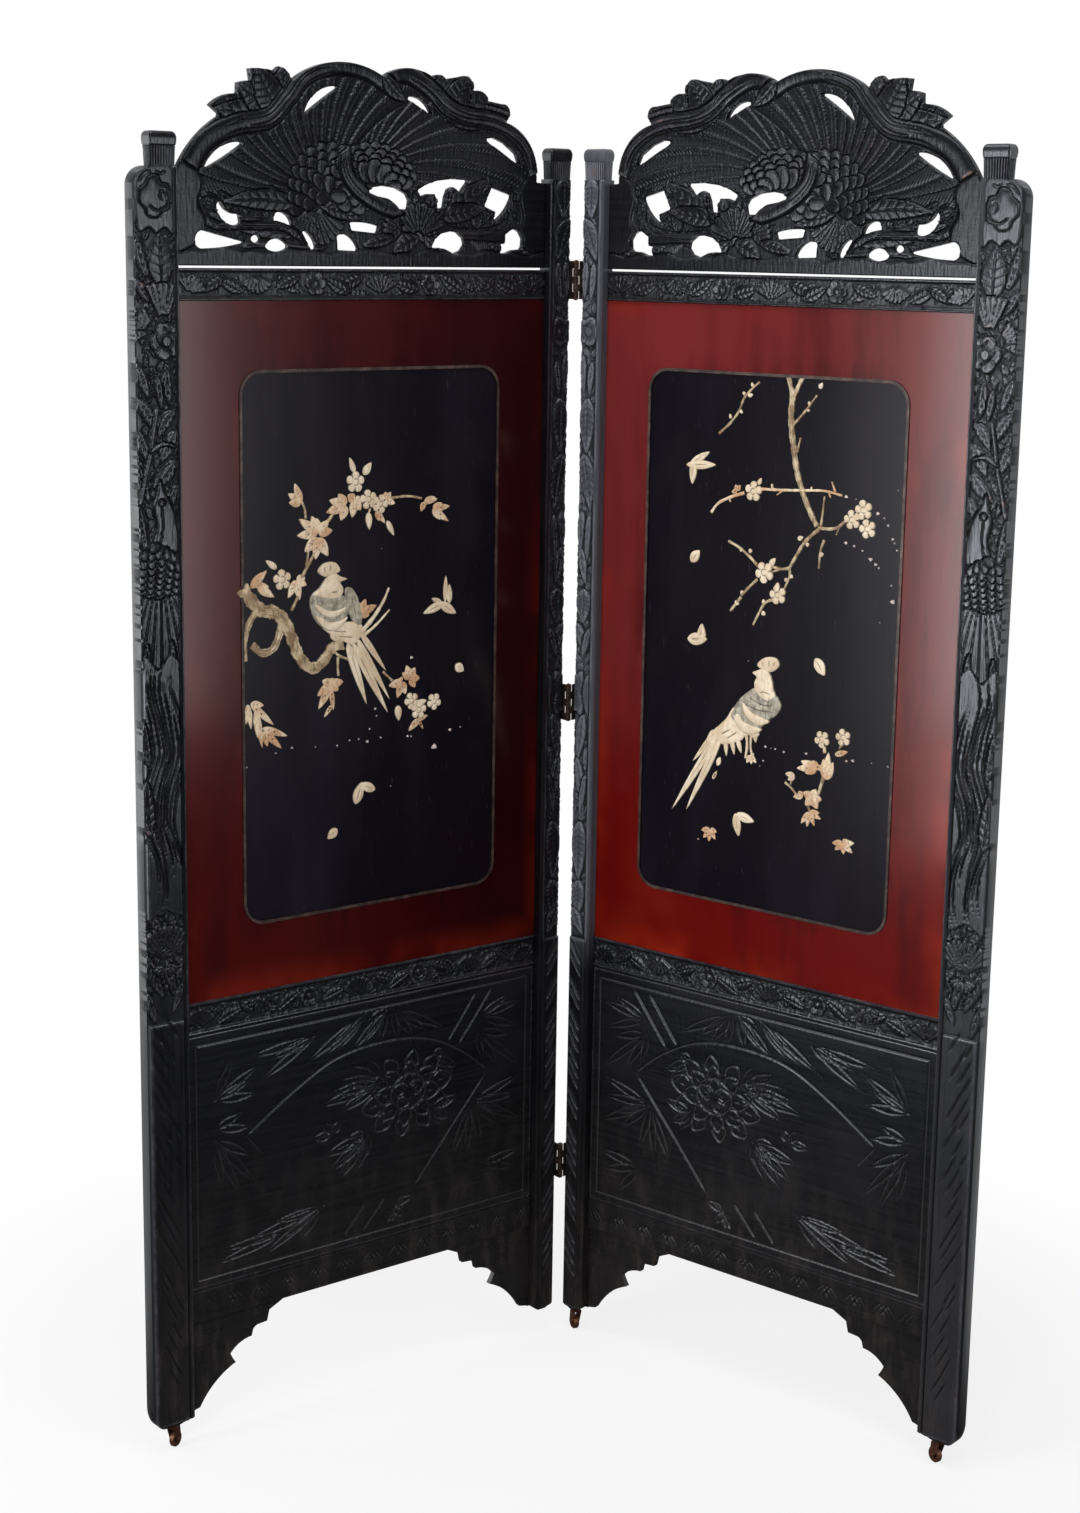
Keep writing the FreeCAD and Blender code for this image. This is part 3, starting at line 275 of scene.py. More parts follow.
def black_wood(name, scale, turn, cut=(7, 7, 8), painted_sheen=0.0, above=0.0, gloss=0.5):
    """Stained wood with its hollows in the cut tone, painted shade where that tone is dark and a painted highlight
    where it is light, and a painted grey sheen by a share above a height in metres.
    """
    wood = Finish(name, Specular_IOR_Level=gloss, Specular_Tint=(0.88, 0.93, 1.0, 1.0))
    grain = wood.noise(wood.stretched(scale, turn), 1.0, 5.0, 0.6)
    cloud = wood.noise(wood.place(), 9.0, 3.0)
    ridge, hollow = wood.marks("ridge"), wood.marks("hollow")
    stain = wood.mix(grain.step(0.35, 0.75), STAIN, THIN_STAIN)
    stain = wood.mix(cloud.step(0.45, 0.8) * 0.6, stain, CLOUDED)
    height = wood.axis("Z")
    # Painted grey sheen over the wood above a height, standing in for the light these uprights catch.
    if painted_sheen:
        grey = painted_sheen * height.step(above - 0.1, above)
        stain = wood.mix(grey * (0.6 + grain * 0.5), stain, GREY_SHEEN)
    scuffs = wood.noise(wood.stretched((50.0, 50.0, 16.0), turn), 1.0, 5.0, 0.7)
    low_down = 1 - height.step(0.05, 0.5)
    stain = wood.mix(low_down * (0.2 + scuffs.step(0.45, 0.7) * 0.6), stain, SCUFFED)
    # Hollows take the cut tone: painted shade where it is dark, a painted highlight where it is lighter.
    painted_hollows = wood.mix(hollow.step(0.12, 0.6) * 0.9, stain, paint(*cut))
    chips = wood.noise(wood.place(), 70.0, 4.0, 0.7)
    # Ridges and arrises get a lighter bluish tone: rubbing wear and a painted highlight.
    rub_and_sheen = ridge.step(0.2, 0.9) * (0.2 + chips.step(0.35, 0.7) * 0.55)
    sheened = wood.mix(rub_and_sheen, painted_hollows, RUBBED_AND_SHEEN)
    # Painted grey sheen on the ridges as well.
    if above:
        sheened = wood.mix(ridge.step(0.1, 0.6) * grey * 0.6, sheened, GREY_RIDGE_SHEEN)
    worn = ridge.step(0.4, 0.85) * (chips * 0.6 + cloud * 0.4).step(0.6, 0.66)
    wood.link("Base Color", wood.mix(worn * 0.8, sheened, WORN))
    wood.link("Roughness", 0.17 + grain * 0.12 + cloud * 0.1 + hollow * 0.35 - ridge * 0.04)
    strokes = wood.noise(wood.stretched((260.0, 260.0, 50.0), turn), 1.0, 2.0)
    wood.bump(grain * 0.2 + strokes * 0.8, 0.0009, 0.5)
    return wood.material


# Light cut tones for the lower panels: a painted highlight in the cuts, brighter on the right leaf.
CUT_HIGHLIGHTS = {"left": (50, 49, 49), "right": (64, 63, 62)}
WOOD = {"upright": black_wood("black_wood_upright", UPRIGHT, 0.0),
        "outer": black_wood("black_wood_grey_sheen", UPRIGHT, 0.0, painted_sheen=0.2),
        "inner": black_wood("black_wood_most_grey_sheen", UPRIGHT, 0.0, painted_sheen=0.8, above=0.66)}
for hand, side in SIDES.items():
    turn = side * SWING
    WOOD[hand] = black_wood(f"black_wood_level_{hand}", LEVEL, turn)
    WOOD[f"{hand}_crest"] = black_wood(f"black_wood_crest_{hand}", LEVEL, turn, gloss=0.3)
    WOOD[f"{hand}_cut"] = black_wood(f"black_wood_cut_{hand}", LEVEL, turn, CUT_HIGHLIGHTS[hand])
print("black wood in", len(WOOD), "finishes")


def upright(leaf, which):
    """The right leaf's uprights get a painted grey sheen, the inner ones most."""
    return WOOD[which if leaf.side > 0 else "upright"]

# %% [markdown]
# The panel's border is red lacquer: many thin coats, polished, nearly a mirror when seen at a low
# angle. Its red pales upwards and towards the hinges, gets painted shade along the field's edge,
# and is darkened by painted shade, strongly on the left leaf; it shows orange where it is thin
# near the frame. The field inside it is blue-black. One finish covers the whole board: the distance
# to the field's rounded outline says which of the two colours shows, and the bead hides the change.

# %% Red and black lacquer
BEAD_CORNER = 0.030


def lacquer(leaf):
    """Lacquers a leaf's panel; gloom is how much painted shade darkens its border."""
    low, high = leaf.limits(f"{leaf.hand}_bead")
    board_low, board_high = leaf.limits(f"{leaf.hand}_lacquer_panel")
    half_wide, half_tall = (high - low)[[0, 2]] / 2 * MM - BEAD_CORNER
    wide, tall = (board_high - board_low)[[0, 2]] / 2 * MM
    skin = Finish(f"{leaf.hand}_lacquer", Coat_Roughness=0.12, Specular_IOR_Level=0.1)
    middle = (low + high) / 2
    origin = tuple(leaf.world([[middle[0], 0.0, middle[2]]])[0])
    away = skin.vector("SUBTRACT", skin.place(), origin)
    across = skin.vector("DOT_PRODUCT", away, tuple(leaf.along), "Value")
    up = skin.vector("DOT_PRODUCT", away, (0.0, 0.0, 1.0), "Value")
    side = (across.size() - half_wide).most(0.0)
    end = (up.size() - half_tall).most(0.0)
    outside = (side * side + end * end) ** 0.5 - BEAD_CORNER
    border = outside.step(-0.003, -0.002)
    height = up.step(-tall, tall)
    streaks = skin.noise(skin.stretched((14.0, 14.0, 2.5)), 1.0, 5.0, 0.65)
    patches = skin.noise(skin.place(), 5.0, 3.0, 0.6)
    # The border: red that pales upwards, with dark streaks and orange patches
    red = skin.mix(height.step(0.0, 0.45), paint(98, 10, 7), paint(104, 20, 19))
    red = skin.mix(height.step(0.45, 1.0), red, paint(106, 32, 33))
    red = skin.mix(streaks.step(0.45, 0.72) * 0.7, red, paint(66, 10, 13))
    red = skin.mix(patches.step(0.5, 0.75) * 0.45, red, paint(126, 34, 22))
    near_side = (across.size() - (wide - 0.045)).step(0.0, 0.045)
    near_frame = near_side.most((up.size() - (tall - 0.05)).step(0.0, 0.05))
    by_hinges = (1 - across.step(-0.3, 0.1)) * height.step(0.1, 0.5)
    red = skin.mix(by_hinges * 0.6, red, paint(122, 44, 45))
    near_field = 1 - outside.step(0.0, 0.035)
    # Painted shade along the field's edge beside the bead, in the streaks.
    red = skin.mix(near_field * streaks.step(0.4, 0.7) * 0.5, red, paint(52, 8, 11))
    # Painted shade over the border, by the leaf's share, a little less towards the outer side.
    red = skin.mix(leaf.gloom * (1 - across.step(-0.3, 0.3) * 0.4), red, paint(20, 3, 6))
    thin = near_frame * patches.step(0.4, 0.65) * (1 - height * 0.5) * (0.75 - leaf.gloom * 0.5)
    red = skin.mix(thin, red, paint(150, 40, 16))
    # The field: blue-black with a haze and fine scratches
    haze = skin.noise(skin.stretched((5.0, 5.0, 1.2)), 1.0, 5.0, 0.6)
    black = skin.mix(haze.step(0.4, 0.75), paint(14, 11, 19), paint(30, 26, 37))
    scratches = skin.noise(skin.stretched((300.0, 300.0, 40.0)), 1.0, 2.0, 0.8)
    black = skin.mix(scratches.step(0.66, 0.8) * 0.35, black, paint(74, 72, 80))
    skin.link("Base Color", skin.mix(border, black, red))
    skin.link("Roughness", 0.14 + haze * 0.14 + scratches * 0.06 - border * 0.04)
    skin.link("Coat Weight", 0.12 + border * 0.15)
    skin.bump(skin.noise(skin.stretched((6.0, 6.0, 3.0)), 1.0, 1.0), 0.004, 0.12)
    nodes[f"{leaf.hand}_lacquer_panel"].data.materials[0] = skin.material
    print(leaf.hand, "field", np.round(high - low, 1)[[0, 2]], "mm in the bead")


# The left leaf's border gets strong painted shade, the right leaf's very little.
leaves["left"].gloom, leaves["right"].gloom = 0.93, 0.05
for leaf in leaves.values():
    lacquer(leaf)

# %% [markdown]
# The bead is a thin moulding, once gilt and now a dark brown gold. The castors are brass gone
# brown, and the hinges are darker still. These pieces have the right shapes already, so they keep
# their packed meshes and only get a finish. The brackets do too, in the rails' black wood.

# %% Bead and brass
gilt = Finish("dull_gilt", Metallic=0.3)
rub = gilt.noise(gilt.place(), 60.0, 4.0, 0.7)
fade = gilt.noise(gilt.place(), 7.0, 2.0)
gilt.link("Base Color", gilt.mix(rub.step(0.4, 0.7), paint(40, 26, 24), paint(86, 66, 56)))
gilt.link("Roughness", 0.3 + fade * 0.25)
gilt.bump(rub, 0.0005, 0.4)


def old_brass(name, dark, light, dirt):
    brass = Finish(name, Metallic=0.85)
    tarnish = brass.noise(brass.place(), 90.0, 4.0, 0.65)
    grime = brass.noise(brass.place(), 300.0, 3.0, 0.7)
    tone = brass.mix(tarnish.step(0.35, 0.65), dark, light)
    brass.link("Base Color", brass.mix(grime.step(0.5, 0.75) * 0.7, tone, dirt))
    brass.link("Roughness", 0.38 + grime * 0.3)
    brass.bump(grime, 0.0004, 0.5)
    return brass.material


KEPT = {  # part of a packed piece's name, and its finish; none for the rails' own wood
    "_bead": gilt.material,
    "hinge": old_brass("dark_brass", paint(58, 46, 42), paint(96, 76, 66), paint(34, 29, 28)),
    "castor": old_brass("aged_brass", paint(92, 58, 46), paint(134, 92, 72), paint(48, 34, 30)),
    "bracket": None}

for name, node in nodes.items():
    part = next((part for part in KEPT if part in name), None)
    if part:
        node.data.materials[0] = KEPT[part] or WOOD[name.split("_")[0]]
print("bead and brass finished")

# %% [markdown]
# The carving is one surface of heights over each board. A motif is laid over what is already
# there, with a moat cut round it, as a gouge does. Lines are cut last. Everything is measured by
# how far a grid place is from a path, so those distances come first.

# %% Paths and distances
FAR = 1e9
NEARLY_ROUND = 6.28


def smooth(points, gap=3.0, closed=False):
    """A curve through points, given as points about gap apart."""
    points = np.asarray(points, float)
    if closed:
        ring = np.concatenate([points[-1:], points, points[:2]])
    else:
        before, after = 2 * points[:1] - points[1:2], 2 * points[-1:] - points[-2:-1]
        ring = np.concatenate([before, points, after])
    out = []
    for a, b, c, d in zip(ring, ring[1:], ring[2:], ring[3:]):
        count = max(2, int(np.linalg.norm(c - b) / gap))
        for t in np.arange(count) / count:
            out.append(0.5 * (2 * b + (c - a) * t + (2 * a - 5 * b + 4 * c - d) * t ** 2
                              + (3 * b - a - 3 * c + d) * t ** 3))
    if not closed:
        out.append(points[-1])
    return np.array(out)


def ring_edges(points):
    return np.concatenate([points, np.roll(points, -1, axis=0)], axis=1)


def to_segment(across, up, ends):
    """Distance from grid places to a segment, and the share of its length where it is nearest."""
    ax, az, bx, bz = ends
    dx, dz = bx - ax, bz - az
    share = np.clip(((across - ax) * dx + (up - az) * dz) / max(dx * dx + dz * dz, 1e-9), 0, 1)
    return np.hypot(across - ax - share * dx, up - az - share * dz), share


def path_reach(across, up, points):
    """Distance to a path and the share of its length at the nearest place."""
    points = np.asarray(points, float)
    lengths = np.linalg.norm(np.diff(points, axis=0), axis=1)
    total, gone = lengths.sum(), 0.0
    best, share = np.full(across.shape, FAR), np.zeros(across.shape)
    for start, stop, length in zip(points, points[1:], lengths):
        reach, part = to_segment(across, up, (*start, *stop))
        nearer = reach < best
        best = np.where(nearer, reach, best)
        share = np.where(nearer, (gone + part * length) / total, share)
        gone += length
    return best, share


def inside_of(across, up, edges, signed=False):
    """Whether grid places are within closed edges, or how far inside they are."""
    inside = np.zeros(across.shape, bool)
    far = np.full(across.shape, FAR)
    for ax, az, bx, bz in edges:
        if ax != bx:
            column = (across[:, 0] >= min(ax, bx)) & (across[:, 0] < max(ax, bx))
            if column.any():
                line = az + (across[column] - ax) / (bx - ax) * (bz - az)
                inside[column] ^= up[column] > line
        if signed:
            far = np.minimum(far, to_segment(across, up, (ax, az, bx, bz))[0])
    return np.where(inside, far, -far) if signed else inside


def box_of(edges):
    """The lowest and the highest rule and height of an outline."""
    ends = edges.reshape(-1, 2)
    return ends.min(0), ends.max(0)


def thinned(share, taper, least):
    """How full a stroke is along its length, thin at both ends."""
    return np.clip(np.minimum(share, 1 - share) / taper, least, 1) if taper else 1.0


def near_middle(angle, start, stop):
    """Directions in degrees, each within half a turn of the middle of a fan."""
    middle = (start + stop) / 2
    return (np.degrees(angle) - middle + 180) % 360 - 180 + middle


print("a corner takes", len(smooth([(0, 0), (9, 0), (9, 9)])), "places")

# %% [markdown]
# A few motifs make up all of this carving: pointed leaves, fans of petals, round flowers, cords,
# feathers and plain cushions. Each is a method that lays one form with its own top, so a board's
# drawing is a list of motifs with places and sizes.

# %% A surface to carve


class Relief:
    """Heights in millimetres over a grid of places on a leaf; its forms rise from its ground."""

    def __init__(self, low, high, step, level=0.0, ground=0.0):
        count = [int(round((high[i] - low[i]) / step)) + 1 for i in (0, 1)]
        self.u = np.linspace(low[0], high[0], count[0])
        self.z = np.linspace(low[1], high[1], count[1])
        self.step, self.ground = step, ground
        self.h = np.full(count, float(level))
        self.shade = 0.0

    def window(self, low, high):
        """The part of the grid between two places: its slices, rules and heights."""
        i = slice(*np.searchsorted(self.u, (low[0], high[0])))
        j = slice(*np.searchsorted(self.z, (low[1], high[1])))
        across, up = np.meshgrid(self.u[i], self.z[j], indexing="ij")
        return (i, j), across, up

    def around(self, points, room):
        points = np.asarray(points, float)
        return self.window(points.min(0) - room, points.max(0) + room)

    def circle(self, centre, room):
        """The part of the grid round a centre, with distances and directions from it."""
        place, across, up = self.around([centre], room)
        dx, dz = across - centre[0], up - centre[1]
        return place, np.hypot(dx, dz), np.arctan2(dz, dx)

    def lay(self, place, inside, top, soft=1.8, moat=1.4, floor=None):
        """Lays a form with tops where inside is positive, and cuts a moat round it."""
        floor = self.ground if floor is None else floor
        edge = np.clip(inside / soft, 0, 1)
        form = floor + (top - floor) * np.sqrt(edge * (2 - edge))
        here = self.h[place]
        here = np.where((inside <= 0) & (inside > -moat), np.minimum(here, floor), here)
        self.h[place] = np.where(inside > 0, form, here)

    def groove(self, points, width=1.3, depth=0.9, taper=0.15):
        place, across, up = self.around(points, width * 2)
        reach, share = path_reach(across, up, points)
        ends = thinned(share, taper, 0.25)
        cut = np.clip(1 - reach / (width * ends), 0, 1)
        self.h[place] -= depth * ends * cut * (2 - cut)

    def curve(self, points, width=1.3, depth=0.9, taper=0.15):
        self.groove(smooth(points), width, depth, taper)

    def cord(self, points, half, top, grooves=0, taper=0.0):
        """A rounded stem along a path, with grooves that run along it."""
        path = smooth(points)
        place, across, up = self.around(path, half + 2)
        reach, share = path_reach(across, up, path)
        body = top - (reach / half) ** 2 * (top - self.ground) * 0.4
        if grooves:
            lines = np.cos(reach / half * math.pi * grooves) ** 4
            body = body - 1.1 * lines * (reach < half * 0.8)
        self.lay(place, half * thinned(share, taper, 0.15) - reach, body, soft=half * 0.5)

    def leaf(self, base, tip, width, veins=5, top=2.6, bend=0.0, fat=0.8, floor=None):
        """A pointed leaf with a midrib and slanting veins."""
        base, tip = np.asarray(base, float), np.asarray(tip, float)
        way = tip - base
        length = np.linalg.norm(way)
        way = way / length
        place, across, up = self.around([base, tip], width)
        s = ((across - base[0]) * way[0] + (up - base[1]) * way[1]) / length
        t = (up - base[1]) * way[0] - (across - base[0]) * way[1]
        t = t - bend * 4 * s * (1 - s)
        half = width / 2 * np.sin(math.pi * np.clip(s, 0, 1) ** fat) ** 0.8
        inside = np.where((s > 0) & (s < 1), half - np.abs(t), -9.0)
        flat = np.abs(t) / np.maximum(half, 0.5)
        face = top - 0.8 * flat ** 2 - 0.9 * np.exp(-t ** 2)
        if veins:
            phase = (s * (veins + 1) - flat * 0.7) % 1.0
            face = face - 0.55 * np.exp(-((phase - 0.5) / 0.12) ** 2) * (flat < 0.9)
        self.lay(place, inside, face, floor=floor)

    def fan(self, centre, start, stop, inner, outer, ribs, top=2.6, scallop=3.0, depth=1.1):
        """Feathers or petals side by side round a centre, angles in degrees from level."""
        place, r, angle = self.circle(centre, outer)
        angle = near_middle(angle, start, stop)
        share = (angle - start) / (stop - start) * ribs
        bulge = 4 * (share % 1.0) * (1 - share % 1.0)
        side = np.radians(np.minimum(angle - start, stop - angle)) * r
        inside = np.minimum(np.minimum(outer - scallop * (1 - bulge) - r, r - inner), side)
        quill = 0.5 * np.exp(-(((share % 1.0) - 0.5) / 0.09) ** 2)
        face = top - depth * (1 - bulge) ** 2 - quill - 0.5 * (1 - r / outer)
        self.lay(place, inside, face)

    def wing(self, pivot, start, stop, inner, outer, count, sweep, top=1.7, lift=1.9, floor=-0.8):
        """Long feathers round a place, each lying half over the next like slats."""
        place, r, angle = self.circle(pivot, outer)
        angle = near_middle(angle, start, stop)
        swept = angle - sweep * r / 100 * np.clip((angle - min(start, 60)) / 60, 0, 1)
        share = (swept - start) / (stop - start) * count
        t = share % 1.0
        side = np.radians(np.minimum(swept - start, stop - swept)) * r
        inside = np.minimum(np.minimum(outer - r, r - inner), side)
        barb = 0.22 * np.cos((r / 5.5 - np.abs(t - 0.42) * 5) * 2 * math.pi)
        quill = 0.55 * np.exp(-((t - 0.42) * r / 9) ** 2)
        face = top - lift * t ** 1.3 - quill + barb * np.clip(r / inner - 1.2, 0, 1)
        self.lay(place, inside, face, floor=floor)

    def thicket(self, low, high, seed, length=24.0, width=11.0, top=1.5, turn=90.0, spread=55.0,
                gap=9.0, floor=None):
        """Small leaves over a whole stretch of ground, each partly over the last."""
        chance = np.random.default_rng(seed)
        for z in np.arange(high[1], low[1], -gap * 1.4):
            for u in np.arange(low[0], high[0], gap):
                a = math.radians(turn + chance.uniform(-spread, spread))
                base = np.array([u, z]) + chance.uniform(-4, 4, 2)
                way = np.array([math.cos(a), math.sin(a)])
                tip = base + length * chance.uniform(0.7, 1.2) * way
                self.leaf(base, tip, width * chance.uniform(0.7, 1.2), 3,
                          top=top + chance.uniform(0, 0.5), floor=floor)

    def plumage(self, pivot, start, stop, inner, outer, size, top=3.0, squash=1.0):
        """Rows of small feathers that point away from a place, the inner rows on top."""
        for row, r in enumerate(np.arange(outer, inner, -size * 0.62)):
            count = max(2, int(abs(math.radians(stop - start)) * r / (size * 0.85)))
            for k in range(count + 1):
                a = math.radians(start + (stop - start) * (k + 0.5 * (row % 2)) / count)
                way = np.array([math.cos(a), math.sin(a) * squash])
                middle = np.array(pivot) + way * (r + size * 0.15)
                place, across, up = self.around([middle], size)
                ahead = (across - middle[0]) * way[0] + (up - middle[1]) * way[1]
                aside = (up - middle[1]) * way[0] - (across - middle[0]) * way[1]
                inside = size * 0.5 * (1 - np.hypot(ahead / (size * 0.72), aside / (size * 0.52)))
                face = top - 1.0 + ahead / size * 1.5 - 0.5 * (aside / size * 2) ** 2
                self.lay(place, inside, face, soft=1.2, moat=1.0)

    def strands(self, points, half, count, seed, width=1.5, depth=1.2):
        """Long cuts beside each other along a path, each with its own start and end."""
        chance = np.random.default_rng(seed)
        path = smooth(points)
        side = across_of(path)
        for offset in np.linspace(-1, 1, count):
            first = int(chance.uniform(0, 0.25) * len(path))
            last = int(chance.uniform(0.7, 1.0) * len(path))
            reach = half * (offset + 0.12 * np.sin(np.linspace(0, 9, len(path)) + offset * 5))
            self.groove((path + side * reach[:, None])[first:last:2], width, depth, taper=0.12)

    def rosette(self, centre, radius, petals=6, top=2.8):
        """A round flower: a ring of lobes, an inner ring and a boss."""
        place, r, angle = self.circle(centre, radius * 1.2)
        lobe = np.abs(np.cos(angle * petals / 2))
        inside = radius * (0.82 + 0.18 * lobe ** 0.7) - r
        dish = 0.9 * np.cos(np.clip(r / radius, 0, 1) * math.pi * 2.0) * 0.5
        clefts = 0.8 * np.exp(-(lobe / 0.16) ** 2) * (r > radius * 0.35)
        inner = 0.9 * np.exp(-((r - radius * 0.36) / 1.2) ** 2)
        self.lay(place, inside, top + dish * 0.6 - clefts - inner)

    def shape(self, outline, top=2.6, crown=0.8, soft=2.5, floor=None):
        """A plain form with a soft edge, inside a smooth outline."""
        outline = smooth(outline, closed=True)
        place, across, up = self.around(outline, 3)
        inside = inside_of(across, up, ring_edges(outline), signed=True)
        self.lay(place, inside, top - crown * np.exp(-inside / 5), soft=soft, floor=floor)

    def slab(self, left, right, low, high, top):
        """A plain oblong form between two rules and two heights."""
        place, across, up = self.window((left - 2, low - 2), (right + 2, high + 2))
        beside = np.minimum(across - left, right - across)
        self.lay(place, np.minimum(beside, np.minimum(up - low, high - up)), top)

    def softened(self):
        """The heights averaged twice over some four millimetres each way."""
        soft = self.h
        width = max(1, int(round(4.0 / self.step)))
        span = 2 * width + 1
        for _ in range(4):
            sums = np.cumsum(np.pad(soft, [(width, width), (0, 0)], mode="edge"), axis=0)
            sums = np.concatenate([np.zeros((1, sums.shape[1])), sums])
            soft = ((sums[span:] - sums[:-span]) / span).T
        return soft

    def marks(self):
        """How far each place stands above or below what is round it, from 0 to 1; painted shade adds to the lower
        mark.
        """
        above = self.h - self.softened()
        return np.clip(above / 1.2, 0, 1), np.clip(-above / 1.5 + self.shade, 0, 1)


def across_of(path):
    """Directions of length one, square to a path at each of its places."""
    ways = np.gradient(path, axis=0)
    side = np.stack([-ways[:, 1], ways[:, 0]], axis=1)
    return side / np.linalg.norm(ways, axis=1)[:, None]


print(len(vars(Relief)), "motifs and tools")

# %% [markdown]
# The grid's squares inside a board's outline make its front, and those on the outline are pulled
# onto it. Straight walls go back from there, and the outline is filled in at the back. It comes
# from the packed board, so a carved board fills the same space as the one that it stands for.

# %% From relief to solid board


def nearest_edge(relief, edges, reach):
    """Distance to the outline, and the nearest place on it, for grid places near it."""
    far = np.full(relief.h.shape, float(reach))
    spot = np.zeros(relief.h.shape + (2,))
    for ends in edges:
        start, stop = ends[:2], ends[2:]
        place, across, up = relief.around([start, stop], reach)
        _, share = to_segment(across, up, ends)
        on = start + share[..., None] * (stop - start)
        gap = np.hypot(across - on[..., 0], up - on[..., 1])
        nearer = gap < far[place]
        far[place] = np.where(nearer, gap, far[place])
        spot[place] = np.where(nearer[..., None], on, spot[place])
    return far, spot


def filled(spots, rims):
    """Triangles that close the back between the edges round it and its windows."""
    flat = [Vector((u, z)) for u, _, z in spots]
    places, _, triangles, own, _, _ = delaunay_2d_cdt(flat, rims.tolist(), [], 0, 0.003)
    corners = np.array(places)
    triangles = np.array([face for face in triangles if len(face) == 3])
    middles = corners[triangles].mean(axis=1)
    edges = np.concatenate([spots[rims[:, 0]][:, ::2], spots[rims[:, 1]][:, ::2]], axis=1)
    kept = triangles[inside_of(middles[:, :1], middles[:, 1:], edges)[:, 0]]
    index, extra = [], []
    for place, known in zip(places, own):
        if not known:
            extra.append((place[0], spots[0][1], place[1]))
        index.append(known[0] if known else len(spots) + len(extra) - 1)
    (ax, az), (bx, bz), (cx, cz) = (corners[kept[:, k]].T for k in range(3))
    turn = (bx - ax) * (cz - az) - (bz - az) * (cx - ax)
    kept = np.where(turn[:, None] > 0, kept[:, ::-1], kept)
    return [tuple(index[i] for i in face) for face in kept], extra


CELL = ((0, 0), (1, 0), (1, 1), (0, 1))
NEIGHBOURS = (((0, -1), [0, 1]), ((1, 0), [1, 2]), ((0, 1), [2, 3]), ((-1, 0), [3, 0]))


def cells_of(inside):
    """Squares with a corner inside the outline, and all the grid places that they use."""
    cell = inside[:-1, :-1] | inside[1:, :-1] | inside[1:, 1:] | inside[:-1, 1:]
    used = np.zeros(inside.shape, bool)
    for i, j in CELL:
        used[i:i + cell.shape[0], j:j + cell.shape[1]] |= cell
    return cell, used


def walls_of(cell, grid):
    """The outer sides of the squares, each as the numbers of its two corners."""
    padded = np.pad(cell, 1)
    walls = []
    for (i, j), pair in NEIGHBOURS:
        beyond = padded[1 + i:1 + i + cell.shape[0], 1 + j:1 + j + cell.shape[1]]
        walls.append(grid[cell & ~beyond][:, pair])
    return np.concatenate(walls)


class Pile:
    """Corners, faces and marks of one piece, gathered before its mesh is made."""

    def __init__(self):
        self.corners, self.faces, self.ridge, self.hollow = [], [], [], []
        self.count = 0

    def add(self, corners, faces, ridge, hollow):
        self.corners.append(corners)
        self.faces += [tuple(int(i) + self.count for i in face) for face in faces]
        self.ridge.append(ridge)
        self.hollow.append(hollow)
        self.count += len(corners)

    def board(self, relief, edges, front, back, arris=1.2):
        """A solid between the relief, whose heights stand in front of a depth, and a back."""
        across, up = np.meshgrid(relief.u, relief.z, indexing="ij")
        inside = inside_of(across, up, edges)
        far, spot = nearest_edge(relief, edges, max(arris, relief.step * 1.6))
        near = np.clip(1 - far / arris, 0, 1)
        height = relief.h - arris * (1 - np.sqrt(1 - near ** 2)) * inside - arris * ~inside
        ridge, hollow = relief.marks()
        # Arrises count as ridges, so they get the rubbing wear and painted highlight too.
        ridge = np.clip(ridge + near * 0.5 * inside, 0, 1)
        cell, used = cells_of(inside)
        pull = used & ~inside
        across = np.where(pull, spot[..., 0], across)
        up = np.where(pull, spot[..., 1], up)
        corners = np.stack([across[used], front - height[used], up[used]], axis=1)
        count = len(corners)
        index = np.full(inside.shape, -1)
        index[used] = np.arange(count)
        grid = np.stack([index[:-1, :-1], index[1:, :-1], index[1:, 1:], index[:-1, 1:]], axis=-1)
        walls = walls_of(cell, grid)
        rim, ends = np.unique(walls, return_inverse=True)
        ends = ends.reshape(-1, 2)
        behind = corners[rim].copy()
        behind[:, 1] = back
        faces = [tuple(face) for face in grid[cell]]
        faces += [(b, a, c + count, d + count)
                  for (a, b), (c, d) in zip(walls.tolist(), ends.tolist())]
        rear, extra = filled(behind, ends)
        faces += [tuple(i + count for i in face) for face in rear]
        behind = np.concatenate([behind, np.array(extra).reshape(-1, 3)])
        plain = np.zeros(len(behind))
        self.add(np.concatenate([corners, behind]), faces,
                 np.concatenate([ridge[used], plain]), np.concatenate([hollow[used], plain]))

    def make(self, name, leaf, material, slot, *stands_for, crease=38):
        mesh = bpy.data.meshes.new(name)
        faces = self.faces if leaf.side > 0 else [face[::-1] for face in self.faces]
        mesh.from_pydata(leaf.world(np.concatenate(self.corners)).tolist(), [], faces)
        for mark, values in (("ridge", self.ridge), ("hollow", self.hollow)):
            layer = mesh.attributes.new(mark, "FLOAT", "POINT")
            layer.data.foreach_set("value", np.concatenate(values).astype(np.float32))
        mesh.polygons.foreach_set("use_smooth", np.ones(len(mesh.polygons), bool))
        mesh.set_sharp_from_angle(angle=math.radians(crease))
        mesh.materials.append(material)
        piece = bpy.data.objects.new(name, mesh)
        bpy.context.scene.collection.objects.link(piece)
        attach(piece, f"{leaf.hand}_leaf")
        if stands_for:
            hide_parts(*stands_for)
        print(name, len(mesh.polygons), "faces")
        return piece


def stretch(edges, low, high):
    """An outline stretched a little so that it fills the packed board's own box."""
    first, last = box_of(edges)
    ends = edges.reshape(-1, 2)
    return (low + (ends - first) / (last - first) * (high - low)).reshape(-1, 4)


